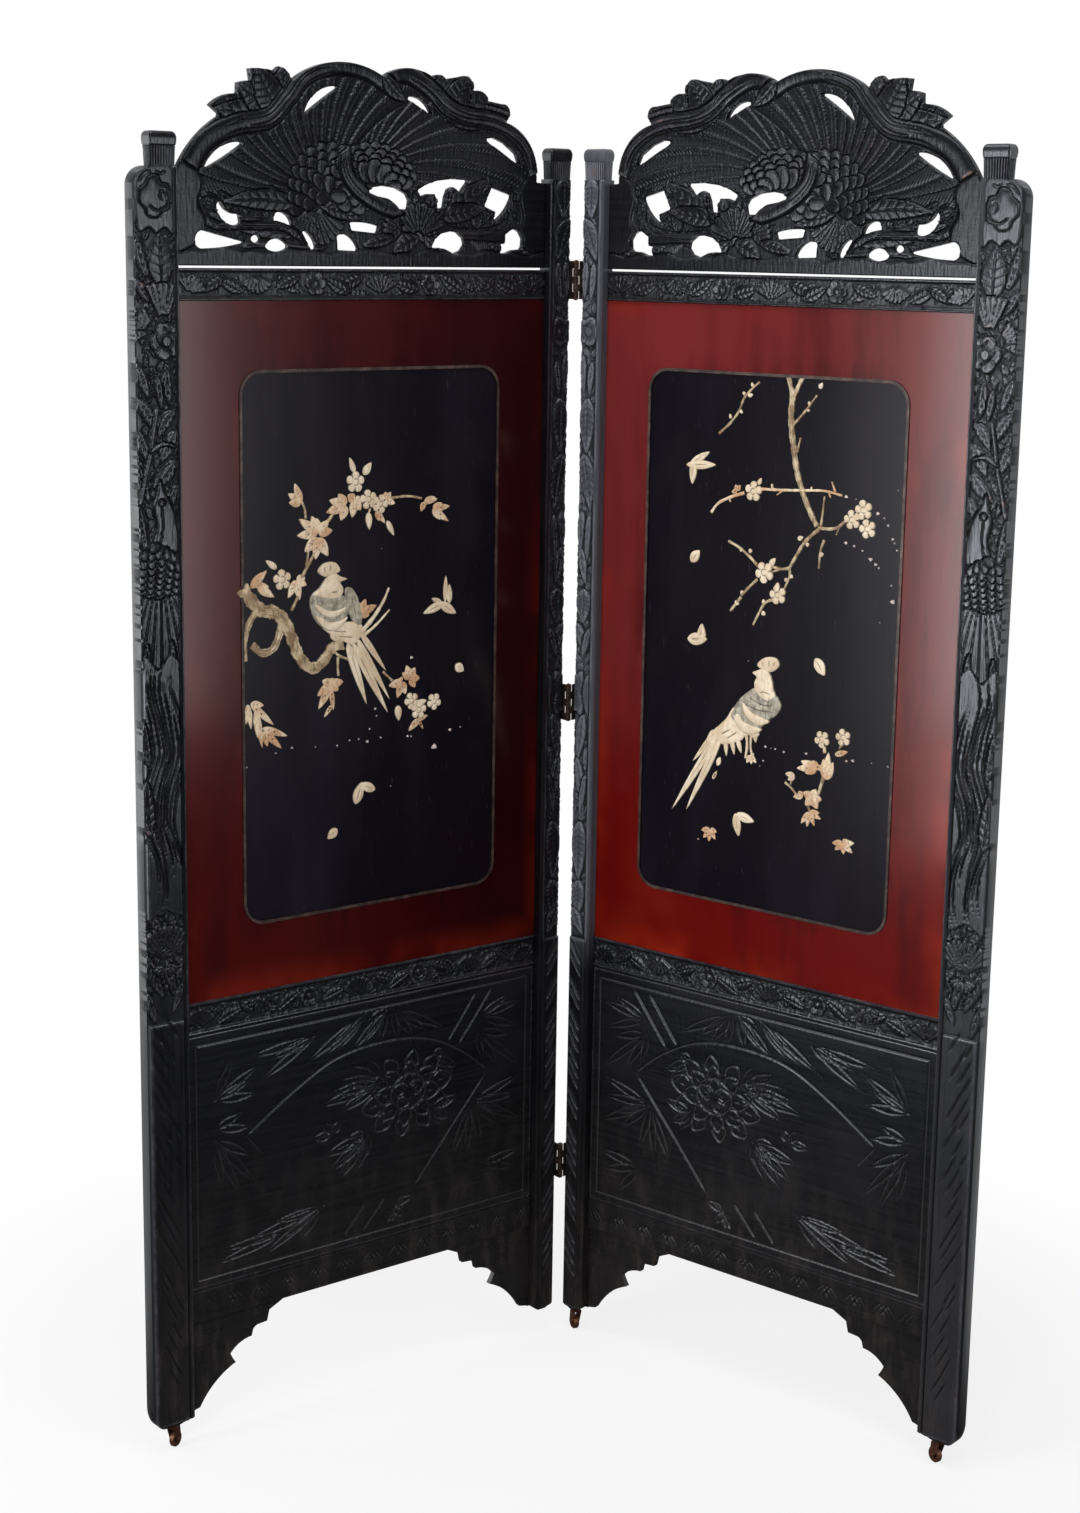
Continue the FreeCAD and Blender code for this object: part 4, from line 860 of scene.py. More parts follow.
def carved_board(leaf, node, relief, edges, stand, arris, material, ending="carved"):
    """A carved board in the place of a packed one; its relief stands out in front of its body."""
    low, high = leaf.limits(node)
    pile = Pile()
    pile.board(relief, edges, low[1] + stand, high[1], arris)
    return pile.make(f"{node}_{ending}", leaf, material, "black_wood", node)


print("boards can be carved")

# %% [markdown]
# The stiles carry the richest carving: cloud, leaves, buds, flowers and a long-necked bird at the
# top, then streams and a lotus, and sparse slanting strokes down to the foot. Every motif is
# placed one by one along the board. A narrow plain border is left beside the panel. The outer
# stile's lower outer corner is rounded off, taller than it is wide, so that outline is redrawn.

# %% Outer stiles
DEEP = 3.2
CLOUD = [
    (642, 1655), (645, 1670), (655, 1673), (660, 1682), (672, 1680), (677, 1671), (686, 1664),
    (686, 1650), (679, 1643), (674, 1633), (660, 1631), (652, 1638), (643, 1642)]
OUTER_LEAVES = [  # base, tip, width, veins, and bend where there is one
    ((656, 1548), (658, 1612), 36, 5), ((676, 1560), (690, 1612), 15, 4, -2),
    ((672, 1530), (694, 1560), 14, 4), ((694, 1498), (674, 1530), 13, 4),
    ((650, 1448), (646, 1402), 15, 3, 2), ((664, 1440), (658, 1398), 12, 3),
    ((690, 1452), (676, 1412), 15, 4), ((640, 1398), (664, 1364), 18, 4, 3),
    ((692, 1412), (668, 1372), 18, 5, -3), ((638, 1372), (662, 1332), 20, 5),
    ((690, 1372), (672, 1332), 16, 4, 3), ((640, 1336), (672, 1302), 20, 4, -3),
    ((692, 1330), (676, 1282), 13, 4, 2), ((638, 1305), (650, 1268), 14, 3, 2),
    ((692, 1282), (680, 1212), 13, 6, 2), ((684, 858), (690, 930), 22, 6, -2),
    ((640, 765), (662, 722), 15, 4), ((690, 760), (668, 722), 15, 4),
    ((640, 690), (668, 648), 15, 4, -2), ((692, 700), (668, 640), 17, 5, 2),
    ((664, 690), (650, 634), 14, 4), ((640, 655), (656, 618), 12, 3),
    ((692, 650), (680, 606), 12, 3)]
STREAM = [
    (668, 1092), (674, 1050), (663, 1004), (656, 960), (668, 916), (672, 872), (660, 826),
    (656, 786), (664, 744)]
SLANTS = [
    (598, 648, 38), (590, 672, 30), (570, 650, 60), (560, 662, 52), (545, 672, 30), (515, 648, 62),
    (505, 655, 66), (495, 668, 40), (470, 645, 58), (458, 660, 44), (440, 672, 30), (425, 645, 60),
    (412, 652, 62), (400, 664, 44), (372, 655, 50), (360, 668, 34), (330, 645, 66), (318, 648, 72),
    (306, 662, 50), (275, 642, 62), (250, 655, 58), (240, 662, 44), (215, 640, 60), (205, 652, 52),
    (172, 645, 50), (160, 652, 50), (148, 662, 36), (120, 646, 46), (108, 652, 44)]


def carve_outer_stile(relief, leaf):
    left = leaf.hand == "left"
    relief.thicket((640, 1070), (694, 1600), 21 if left else 22)
    relief.thicket((640, 640), (694, 760), 23, turn=80)
    relief.shape([(638, 1690), (682, 1690), (690, 1680), (691, 1630), (684, 1614), (672, 1619),
                  (662, 1612), (650, 1619), (638, 1614)], top=2.6, crown=0.3)
    relief.shape(CLOUD, top=3.1, crown=1.2, floor=0.9)
    relief.curve([(648, 1668), (644, 1655), (650, 1643), (664, 1641), (676, 1650)], 1.6, 1.5)
    relief.curve([(648, 1662), (655, 1664), (657, 1656), (651, 1652)], 1.3, 1.2)
    relief.curve([(648, 1688), (655, 1684), (662, 1688)], 1.3, 1.4)
    relief.curve([(668, 1688), (678, 1684), (687, 1674)], 1.6, 1.6)
    for base, tip, width, veins, *bend in OUTER_LEAVES:
        relief.leaf(base, tip, width, veins, 2.9, *bend)
    relief.fan((654, 1500), 62, 118, 14, 54, 6, top=3.1, scallop=2)
    relief.fan((664, 1496), -25, 60, 12, 32, 7, top=2.7, scallop=3)
    relief.rosette((650, 1482), 23, petals=5, top=3.1)
    relief.curve([(634, 1490), (646, 1492), (656, 1502)], 1.3, 1.2)
    relief.curve([(640, 1468), (654, 1474), (666, 1490)], 1.3, 1.2)
    relief.cord([(664, 1404), (670, 1372), (676, 1340), (684, 1310), (690, 1282)], 3.0, 2.9,
                taper=0.05)
    relief.cord([(640, 1352), (656, 1356), (676, 1346)], 2.2, 2.8, taper=0.1)
    # The long-necked bird
    relief.shape([(662, 1312), (656, 1296), (648, 1284), (640, 1262), (638, 1222), (690, 1204),
                  (684, 1218), (674, 1232), (668, 1252), (672, 1276), (668, 1292)],
                 top=3.1, crown=0.6)
    relief.curve([(660, 1296), (660, 1268), (662, 1240), (672, 1218), (686, 1200)], 1.5, 1.5)
    relief.rosette((660, 1283), 5, petals=4, top=3.2)
    relief.plumage((658, 1232), 238, 318, 6, 78, 12, top=3.0)
    relief.fan((664, 1220), 246, 300, 58, 152, 9, top=2.9, scallop=14, depth=1.3)
    relief.leaf((650, 1110), (644, 1062), 10, 5)
    relief.leaf((684, 1108), (684, 1040), 11, 6)
    # The stream, a slab with wavy ends and long cuts along it
    place, across, up = relief.window((639, 748), (691, 1090))
    upper = 1082 + 9 * np.sin(across / 6) - up
    lower = up - 752 - 6 * np.sin(across / 8)
    relief.lay(place, np.minimum(np.minimum(lower, upper), 9.0), 3.0)
    relief.strands(STREAM, 24.0, 11, 8 if left else 9, 1.9, 2.2)
    relief.strands(STREAM[2:], 20.0, 6, 10, 1.5, 1.4)
    relief.leaf((684, 858), (688, 932), 22, 6, top=3.0, bend=-2)
    relief.leaf((684, 948), (690, 1010), 14, 6, top=2.8, bend=-2)
    # The lotus, and slanting strokes down to the foot
    relief.fan((665, 690), 32, 148, 6, 48, 11, top=3.0, scallop=5)
    relief.fan((665, 688), 200, 340, 6, 22, 7, top=2.8, scallop=3)
    relief.slab(639, 691, 38, 606, 2.9)
    for height, start, length in SLANTS:
        rise = length * 0.5
        relief.groove([(start, height - rise), (min(start + rise, 690), height + rise)],
                      1.9, 1.5, taper=0.3)
    # A plain border beside the panel, with one line along it
    edge = relief.u[0]
    place, across, _ = relief.window((edge - 1, 0), (edge + 6.0, 1700))
    relief.h[place] = DEEP - 2.2 * np.exp(-((across - edge - 5.2) / 0.9) ** 2)


FOOT_WIDE, FOOT_TALL = 18.0, 32.0


def rounded_foot(edges):
    """The outline with a taller round at its lower outer corner, where it clears the floor."""
    (_, bottom), (right, _) = box_of(edges)
    ends = edges.reshape(-1, 2, 2)
    within = (ends[..., 0] > right - 30) & (ends[..., 1] < bottom + 40)
    ends, within = ends[~within.all(axis=1)], within[~within.all(axis=1)]
    level = (np.ptp(ends[..., 1], axis=1) < 1)[:, None]
    ends[within & level] = right - FOOT_WIDE, bottom
    ends[within & ~level] = right, bottom + FOOT_TALL
    turn = np.linspace(0, math.pi / 2, 13)
    arc = np.stack([right - FOOT_WIDE * (1 - np.sin(turn)),
                    bottom + FOOT_TALL * (1 - np.cos(turn))], axis=1)
    return np.concatenate([ends.reshape(-1, 4), np.concatenate([arc[:-1], arc[1:]], axis=1)])


def stile_board(leaf, which, step, carve):
    node = f"{leaf.hand}_{which}_stile"
    low, high = leaf.limits(node)
    edges = stretch(leaf.silhouette(node), low[[0, 2]], high[[0, 2]])
    if which == "outer":
        edges = rounded_foot(edges)
    relief = Relief(low[[0, 2]], high[[0, 2]], step)
    carve(relief, leaf)
    relief.h = np.minimum(relief.h, DEEP)
    return carved_board(leaf, node, relief, edges, DEEP, 1.5, upright(leaf, which))


for leaf in leaves.values():
    stile_board(leaf, "outer", 1.45, carve_outer_stile)

# %% [markdown]
# The inner stiles are narrower. Their motifs are the same family of leaves, buds and shells, and
# below them the slanting strokes are deep and close, so that they catch the light. The left one
# has lost its castor, and a Boolean modifier drills the empty socket that is left in its foot.

# %% Inner stiles
INNER_LEAVES = [
    ((25, 1694), (26, 1640), 26, 7), ((14, 1640), (36, 1584), 25, 6, 2),
    ((18, 1582), (16, 1530), 12, 3), ((31, 1580), (26, 1528), 12, 4, 2),
    ((16, 1455), (18, 1402), 11, 3), ((32, 1446), (28, 1400), 12, 3),
    ((25, 1396), (25, 1318), 27, 8), ((20, 1318), (34, 1240), 26, 7, 2),
    ((19, 1238), (17, 1180), 14, 2), ((32, 1234), (28, 1160), 11, 5),
    ((18, 1186), (28, 1134), 14, 2), ((25, 1128), (25, 1078), 27, 7),
    ((14, 1078), (30, 1036), 15, 4), ((36, 1072), (24, 1030), 13, 4), ((28, 948), (20, 880), 18, 5),
    ((34, 900), (34, 862), 9, 3), ((18, 884), (30, 800), 15, 6, 2), ((34, 860), (24, 800), 11, 5),
    ((25, 790), (25, 702), 27, 9), ((25, 702), (25, 650), 25, 7), ((16, 660), (34, 622), 18, 5)]
STROKES = [
    600, 582, 545, 530, 498, 481, 464, 440, 424, 408, 376, 360, 322, 305, 288, 270, 232, 216, 200,
    164, 148, 130, 112]


def carve_inner_stile(relief, _):
    relief.thicket((12, 620), (38, 1690), 24, length=18.0, width=9.0)
    for base, tip, width, veins, *bend in INNER_LEAVES:
        relief.leaf(base, tip, width, veins, 2.9, *bend, fat=0.7)
    relief.rosette((25, 1488), 20, petals=5, top=3.1)
    relief.curve([(12, 1494), (24, 1498), (34, 1508)], 1.3, 1.3)
    relief.fan((34, 978), 105, 255, 10, 34, 9, top=3.0, scallop=3)
    relief.shape([(30, 1000), (38, 1004), (38, 948), (30, 958), (26, 978)], top=2.8, crown=0.6)
    relief.slab(8, 40, 38, 616, 2.9)
    for height in STROKES:
        relief.groove([(10, height + 20), (36, height - 26)], 2.7, 2.4, taper=0.25)
    place, across, _ = relief.window((38.5, 0), (60, 1700))
    relief.h[place] = DEEP - 1.6 * np.exp(-((across - 39.2) / 0.8) ** 2)


def bore(piece, mount):
    """Drills the empty hole that a mount describes."""
    way = Vector(mount["axis"])
    radius, deep = mount["dims"]["r_mm"] * MM, mount["dims"]["length_mm"] * MM
    spare = 1 * MM
    bpy.ops.mesh.primitive_cylinder_add(
        vertices=28, radius=radius, depth=deep + 2 * spare,
        location=Vector(mount["pos_m"]) - way * (deep / 2 - spare))
    drill = bpy.context.object
    cut = piece.modifiers.new("socket", "BOOLEAN")
    cut.operation, cut.solver, cut.object = "DIFFERENCE", "EXACT", drill
    bpy.context.view_layer.objects.active = piece
    bpy.ops.object.modifier_apply(modifier="socket")
    bpy.data.objects.remove(drill)
    print("socket bored,", len(piece.data.polygons), "faces")


inner = {hand: stile_board(leaf, "inner", 1.4, carve_inner_stile)
         for hand, leaf in leaves.items()}
bore(inner["left"], named(record["mounts"], "castor_socket"))

# %% [markdown]
# Rails are level boards between the stiles, and sit behind the stiles' fronts. The top and middle
# ones are carved with running leaves, fans and small flowers between two plain edges, and the
# bottom one only with cuts.

# %% Rails
RAIL_RUN = [  # kind, place along, share of height, size, turn
    ("fan", 70, 0.1, 28, 90), ("leaf", 96, 0.2, 44, 20), ("leaf", 132, 0.8, 40, -25),
    ("fan", 168, 0.95, 24, 250), ("leaf", 190, 0.2, 46, 30), ("rosette", 242, 0.5, 15, 0),
    ("leaf", 262, 0.75, 40, -30), ("leaf", 262, 0.25, 42, 15), ("fan", 322, 0.05, 30, 90),
    ("leaf", 350, 0.85, 44, -20), ("leaf", 372, 0.15, 44, 25), ("rosette", 424, 0.55, 16, 0),
    ("leaf", 446, 0.2, 44, 28), ("leaf", 448, 0.85, 40, -22), ("fan", 512, 0.95, 26, 270),
    ("leaf", 534, 0.2, 42, 25), ("leaf", 560, 0.85, 40, -30), ("fan", 612, 0.1, 26, 110)]


def carve_rail(relief, flip, deep):
    """Leaves, fans and flowers along a rail; flip runs them from the other end."""
    start, stop = relief.u[0], relief.u[-1]
    low, high = relief.z[0], relief.z[-1]
    tall = high - low
    relief.thicket((start, low), (stop, high), 31 if flip else 32, length=17.0, width=8.0, top=0.8,
                   turn=150 if flip else 30, spread=70.0, gap=7.5)
    for kind, place, share, size, turn in RAIL_RUN:
        u = stop - (place - start) if flip else place
        z = low + tall * (0.12 + 0.76 * share)
        turn = 180 - turn if flip else turn
        if kind == "fan":
            relief.fan((u, z), turn - 62, turn + 62, 4, size, 7, top=deep, scallop=3, depth=0.9)
        elif kind == "rosette":
            relief.rosette((u, z), size, petals=6, top=deep)
        else:
            a = math.radians(turn)
            tip = (u + size * math.cos(a), z + size * math.sin(a))
            relief.leaf((u, z), tip, size * 0.42, 5, top=deep)
    # Plain edges, each with one line along it
    place, _, up = relief.window((start - 1, low - 1), (stop + 1, high + 1))
    edge = np.minimum(up - low, high - up)
    rim = deep - 1.0 * np.exp(-((edge - 4.2) / 0.8) ** 2)
    relief.h[place] = np.where(edge < 4.6, rim, relief.h[place])


def carve_bottom_rail(relief):
    """Small fans of three curved cuts, leaning by turns."""
    low, high = relief.z[0], relief.z[-1]
    tall = high - low
    for u in np.arange(70, 620, 23):
        lean = 1 if int(u) % 2 else -1
        for k in (-1, 0, 1):
            relief.curve([(u + k * 6, low + tall * 0.25), (u + k * 8 + lean * 4, low + tall * 0.5),
                          (u + k * 4 + lean * 16, low + tall * 0.8)], 1.3, 0.9, taper=0.3)


def rail_board(leaf, which, flip, deep=2.0):
    node = f"{leaf.hand}_{which}_rail"
    edges = leaf.silhouette(node)
    relief = Relief(*box_of(edges), 1.4)
    if which == "bottom":
        relief.h[:] = deep
        carve_bottom_rail(relief)
    else:
        carve_rail(relief, flip, deep)
    return carved_board(leaf, node, relief, edges, deep, 2.0, WOOD[leaf.hand])


for leaf in leaves.values():
    for which, flip in (("top", False), ("mid", True), ("bottom", False)):
        rail_board(leaf, which, flip)

# %% [markdown]
# The lower panel is a plain raised board with a short steep edge. One cut line runs round it and
# leaves a flat border. Its picture is only cut in with a V-shaped tool: a peony in the middle,
# bamboo sprays in the corners and one long arc over them. The cuts are narrow, so this board
# needs a fine grid.

# %% Lower panels


def spray(relief, base, tips, width=5.2):
    """Bamboo leaves: long thin ovals cut as two lines, the broad ones with a midrib."""
    base = np.asarray(base, float)
    for tip in tips:
        tip = np.asarray(tip, float)
        way = tip - base
        normal = np.array([-way[1], way[0]]) / np.linalg.norm(way)
        for k in (-1, 1):
            belly = base + way * 0.45 + normal * width * k
            relief.curve([base, belly, tip], 1.25, 1.0, taper=0.3)
        if width > 5.5:
            relief.groove([base + way * 0.1, tip - way * 0.15], 1.1, 0.6, taper=0.3)


def petal_ring(relief, centre, radius, count, size, turn=0.0, shrink=1.0):
    """Petals of a flower cut as loops round a centre."""
    for k in range(count):
        a = turn + 2 * math.pi * k / count
        out = np.array([math.cos(a), math.sin(a) * shrink])
        side = np.array([-out[1], out[0]])
        base = np.asarray(centre, float) + out * radius
        tip = base + out * size
        belly = size * 0.42
        loop = [base - side * belly * 0.4, base + out * size * 0.45 - side * belly, tip,
                base + out * size * 0.45 + side * belly, base + side * belly * 0.4]
        relief.curve(loop, 1.5, 1.1, taper=0.1)
        relief.groove([base + out * size * 0.15, base + out * size * 0.7], 1.1, 0.6, taper=0.3)


SPRAYS = [
    ((150, 515), [(68, 528), (72, 488), (92, 540)]),
    ((152, 495), [(62, 420), (110, 430), (90, 478), (140, 448)]),
    ((160, 388), [(68, 415), (72, 385), (60, 340), (105, 340), (140, 312), (170, 300), (200, 305),
    (88, 360)]),
    ((145, 288), [(62, 300), (72, 270), (98, 238)]),
    ((300, 556), [(204, 508), (240, 512), (262, 505), (290, 508)]),
    ((310, 556), [(322, 508), (372, 505), (352, 512), (340, 548)]),
    ((345, 558), [(420, 505), (450, 500), (396, 510)]),
    ((430, 540), [(470, 522), (520, 492), (505, 520), (540, 530)]),
    ((590, 480), [(515, 520), (520, 478), (530, 500), (556, 540)]),
    ((590, 440), [(530, 432), (545, 455)]),
    ((590, 425), [(520, 345), (545, 330), (560, 380), (575, 345), (530, 390)]),
    ((415, 290), [(462, 244), (494, 254), (526, 236), (506, 284), (548, 268)]),
    ((470, 268), [(600, 246), (590, 265)]), ((300, 262), [(262, 270), (276, 240), (300, 235)])]
STALKS = [
    [(124, 558), (158, 515), (186, 480)], [(153, 556), (180, 520), (205, 488)],
    [(132, 432), (200, 355), (268, 276)], [(310, 280), (350, 236)], [(345, 278), (382, 236)],
    [(278, 272), (300, 238)], [(284, 272), (308, 238)]]


HEART = (272, 428)
BY_THE_PEONY = [  # base, tips, width
    ((318, 452), [(345, 492), (376, 486), (392, 468), (410, 452), (426, 436), (392, 420)], 8.0),
    ((340, 378), [(380, 380), (420, 362), (372, 352), (410, 335), (396, 318), (366, 322),
    (350, 340)], 8.0),
    ((230, 470), [(184, 448), (188, 428), (210, 480)], 7.0),
    ((236, 394), [(182, 405), (196, 372), (212, 366)], 7.0),
    ((400, 392), [(416, 412), (436, 392), (388, 410)], 6.0)]


def carve_lower_panel(relief, leaf):
    arc = [(132, 432), (180, 470), (240, 500), (310, 510), (390, 502), (460, 470), (540, 420)]
    relief.groove(smooth(arc, 6), 1.5, 1.1, taper=0.02)
    relief.groove([(540, 420), (512, 386)], 1.3, 0.9)
    for base, tips in SPRAYS:
        spray(relief, base, tips)
    for path in STALKS:
        relief.groove(path, 2.0, 1.5 if leaf.side > 0 else 0.9, taper=0.1)
    petal_ring(relief, HEART, 2, 5, 26, 0.3)
    around = (HEART[0] + 2, HEART[1] - 2)
    petal_ring(relief, around, 26, 8, 30, 0.1, 0.85)
    petal_ring(relief, around, 44, 10, 34, 0.45, 0.8)
    ring = [(HEART[0] + 30 * math.cos(a), HEART[1] + 26 * math.sin(a))
            for a in np.linspace(0, NEARLY_ROUND, 24)]
    relief.groove(ring, 1.6, 1.2, taper=0)
    for base, tips, width in BY_THE_PEONY:
        spray(relief, base, tips, width)


TONGUE, BORDER, RISE, STEEP = 6.5, 15.5, 2.4, 2.5


def lower_board(leaf):
    node = f"{leaf.hand}_lower_panel"
    edges = leaf.silhouette(node)
    low, high = box_of(edges)
    relief = Relief(low, high, 1.35)
    across, up = np.meshgrid(relief.u, relief.z, indexing="ij")
    beside = np.minimum(across - low[0], high[0] - across)
    edge = np.minimum(beside, np.minimum(up - low[1], high[1] - up))
    relief.h = np.clip((edge - TONGUE - 0.15) / STEEP, 0, 1) * RISE
    relief.h -= 1.3 * np.exp(-((edge - TONGUE - BORDER) / 1.1) ** 2)
    carve_lower_panel(relief, leaf)
    return carved_board(leaf, node, relief, edges, RISE, 0.3, WOOD[f"{leaf.hand}_cut"], "cut")


for leaf in leaves.values():
    lower_board(leaf)

# %% [markdown]
# The crest is a board sawn and pierced into a great bird with spread wings, under two arching
# vines. The saw cuts come from the packed board, and five of the windows are sawn again round
# the leaf tips that reach into them. The wings are fans of long feathers, the vines are grooved
# cords, and spiky leaves sit where they bend. Most of it stands on ground cut below the surface.

# %% Crests
VINE_LEFT = [
    (66, 1688), (78, 1728), (102, 1752), (138, 1766), (186, 1771), (216, 1782), (244, 1803),
    (282, 1820), (318, 1812)]
VINE_RIGHT = [
    (312, 1806), (345, 1822), (392, 1826), (436, 1812), (464, 1782), (492, 1756), (540, 1746),
    (580, 1728), (606, 1696)]
LEFT_CLUSTER = [((108, 1776), 34), ((228, 1826), 36), ((142, 1804), 38), ((180, 1824), 40)]
RIGHT_CLUSTER = [((574, 1764), 34), ((470, 1822), 34), ((540, 1798), 38), ((512, 1820), 42)]
LOWER_LEAVES = [  # base, tip, width, bend
    ((232, 1640), (148, 1690), 30, 4), ((232, 1640), (150, 1652), 26, 0),
    ((236, 1640), (205, 1680), 20, 0), ((250, 1610), (214, 1672), 20, 2),
    ((250, 1606), (240, 1674), 22, 0), ((254, 1606), (268, 1668), 22, 0)]
EARS = [
    [(40, 1694), (80, 1692), (92, 1668), (86, 1640), (94, 1618), (84, 1600), (40, 1596)],
    [(640, 1698), (606, 1694), (590, 1676), (596, 1650), (586, 1628), (594, 1604), (640, 1596)]]
# The saw's line in five of the windows, finer than the packed board has it
FINE_WINDOWS = [
    [(92, 1709), (99, 1725), (118, 1738), (136, 1744.5), (152, 1743), (143, 1736.5), (126, 1727.5),
    (110, 1718.5)],
    [(178, 1688), (206, 1689), (231, 1686), (250, 1680), (262, 1673), (257, 1665.5), (245, 1669),
    (234, 1669), (230, 1662), (231, 1650), (219, 1652), (216.5, 1666), (212, 1676), (205, 1679),
    (198, 1676), (192, 1671), (186, 1679)],
    [(277, 1648.5), (275, 1660), (280, 1668), (296, 1675), (317, 1677.5), (334, 1675), (341, 1669),
    (326, 1664.5), (309, 1661.5), (299, 1656), (291, 1648.5)],
    [(86, 1602), (85, 1613), (91, 1622), (101, 1626), (116, 1618), (116, 1606), (123, 1605),
    (123, 1592.5), (112, 1594), (103, 1597.5), (89, 1598.5)],
    [(184, 1604), (186, 1612), (196, 1619.5), (208, 1621), (224, 1617.5), (235, 1609),
    (241, 1598.5), (228, 1599.5), (216, 1598), (202, 1592), (190, 1596)]]


OWN_LINE = 11.0


def saw_finer(edges):
    """Segments round the board, with the finer windows in the place of the packed ones."""
    for window in FINE_WINDOWS:
        loop = np.array(window, float)
        run = np.roll(loop, -1, axis=0) - loop
        middle = ((edges[:, :2] + edges[:, 2:]) / 2)[:, None]
        share = np.clip(((middle - loop) * run).sum(-1) / (run ** 2).sum(-1), 0, 1)
        away = np.linalg.norm(middle - loop - share[..., None] * run, axis=-1).min(1)
        fresh = np.concatenate([loop, loop + run], axis=1)
        edges = np.concatenate([edges[away > OWN_LINE], fresh])
    return edges


GROUND, DEEP_GROUND, BAND = -0.6, -0.8, 26.0


def carve_crest(relief):
    """Forms in the order in which they lie over each other, the nearest last."""
    relief.wing((350, 1684), 84, 186, 20, 290, 13, 9.0)
    relief.wing((400, 1662), -8, 112, 34, 260, 14, 13.0, top=2.0)
    # Leaves and flowers below the wings
    relief.thicket((96, 1604), (330, 1660), 11, top=0.5, floor=DEEP_GROUND)
    relief.thicket((400, 1600), (590, 1648), 12, top=0.5, turn=20, floor=DEEP_GROUND)
    relief.shape([(84, 1690), (96, 1668), (92, 1640), (104, 1622), (150, 1622), (236, 1620),
                  (232, 1606), (180, 1610), (130, 1608), (86, 1610), (80, 1650)],
                 top=1.2, crown=0.5)
    relief.curve([(92, 1686), (104, 1650), (130, 1630), (180, 1624), (236, 1630)], 2.0, 1.3)
    relief.curve([(100, 1640), (140, 1618), (200, 1614)], 1.6, 1.0)
    for base, tip, width, bend in LOWER_LEAVES:
        relief.leaf(base, tip, width, 6, top=2.4, bend=bend)
    relief.fan((262, 1612), 18, 160, 8, 46, 9, top=2.6, scallop=5)
    relief.leaf((262, 1612), (304, 1590), 24, 4, top=2.8, bend=3)
    relief.leaf((252, 1612), (222, 1592), 18, 4, top=2.4)
    relief.fan((284, 1622), -40, 60, 6, 34, 7, top=2.2, scallop=4)
    relief.leaf((300, 1612), (352, 1600), 16, 5, top=1.8)
    relief.fan((424, 1650), 196, 344, 8, 52, 13, top=2.2, scallop=5)
    relief.leaf((418, 1652), (352, 1634), 20, 6, top=2.2)
    relief.leaf((446, 1650), (560, 1652), 26, 8, top=2.5, bend=5)
    relief.leaf((450, 1612), (590, 1640), 22, 6, top=1.8, bend=-3)
    relief.cord([(440, 1604), (470, 1622), (520, 1624), (580, 1626), (600, 1668)], 5.0, 1.8, 2,
                0.08)
    relief.cord([(404, 1598), (440, 1596), (500, 1600), (540, 1598)], 4.0, 1.6, 1, 0.1)
    # The bird's body, scaly breast and neck
    relief.plumage((400, 1664), -20, 190, 2, 52, 17, top=2.3)
    relief.plumage((334, 1672), 28, 158, 22, 60, 16, top=3.1, squash=0.72)
    neck = [(372, 1726), (378, 1706), (370, 1684), (350, 1666), (322, 1652), (286, 1642)]
    relief.cord(neck, 10.0, 3.1, taper=0.1)
    relief.strands([(370, 1718), (376, 1704), (368, 1684), (348, 1667), (322, 1654)], 6.0, 3, 5,
                   1.3, 0.9)
    relief.curve([(318, 1662), (312, 1652), (316, 1644)], 1.2, 1.0)
    # Vines and their leaves stand in front
    for base, tips in (((216, 1766), LEFT_CLUSTER), ((478, 1758), RIGHT_CLUSTER)):
        for tip, width in tips:
            relief.leaf(base, tip, width, 7, top=2.7)
    for vine, half, seed in ((VINE_LEFT, 12.0, 3), (VINE_RIGHT, 13.0, 4)):
        relief.cord(vine, half, 3.1)
        relief.strands(vine, half * 0.66, 4, seed, 1.8, 1.7)
    relief.leaf((320, 1818), (284, 1786), 22, 4, top=3.1, bend=3)
    # Plain ears beside the stiles and plain band over the rail
    for ear in EARS:
        relief.shape(ear, top=1.3, crown=0.2)
    low = relief.z[0]
    place, across, up = relief.window((relief.u[0] - 1, low - 1), (relief.u[-1] + 1, low + BAND))
    wavy = low + BAND * 0.75 + 2.5 * np.sin(across / 17) + 1.5 * np.sin(across / 7.3)
    relief.lay(place, wavy - up, 1.5, floor=DEEP_GROUND)


STAND, DEEPEST = 3.1, -3.0


def crest_board(leaf):
    node = f"{leaf.hand}_crest"
    edges = saw_finer(leaf.silhouette(node))
    relief = Relief(*box_of(edges), 1.35, DEEP_GROUND, GROUND)
    carve_crest(relief)
    relief.h = np.clip(relief.h, DEEPEST, STAND)
    return carved_board(leaf, node, relief, edges, STAND, 1.4, WOOD[f"{leaf.hand}_crest"])


for leaf in leaves.values():
    crest_board(leaf)

# %% [markdown]
# Each stile ends in a finial that widens upwards. Its lower part is cut into upright reeds on
# every side, and a smooth band closes the top. It needs carving all round, which a height grid
# can't give, so rings of the same rounded oblong, one above the other, make it.

# %% Finials
REEDS, PLACES, REED_TOP = 9, 54, 0.57
LEVELS = [*np.linspace(0, 0.56, 8), 0.58, 0.61, 0.64, 0.68, 0.74, 0.8, 0.85, 0.9, 0.94, 0.97, 0.99,
          1.0]


def round_oblong():
    """Places round an oblong from -1 to 1, with each one's part of a reed and of a corner."""
    around = []
    for face in range(4):
        for k in range(PLACES):
            t = -1 + 2 * k / PLACES
            reed = abs(math.sin(math.pi * REEDS * (t + 1) / 2)) ** 0.6
            way = ((t, -1), (1, t), (-t, 1), (-1, -t))[face]
            around.append((*way, reed, min(1.0, (1 - abs(t)) * 9)))
    return np.array(around)


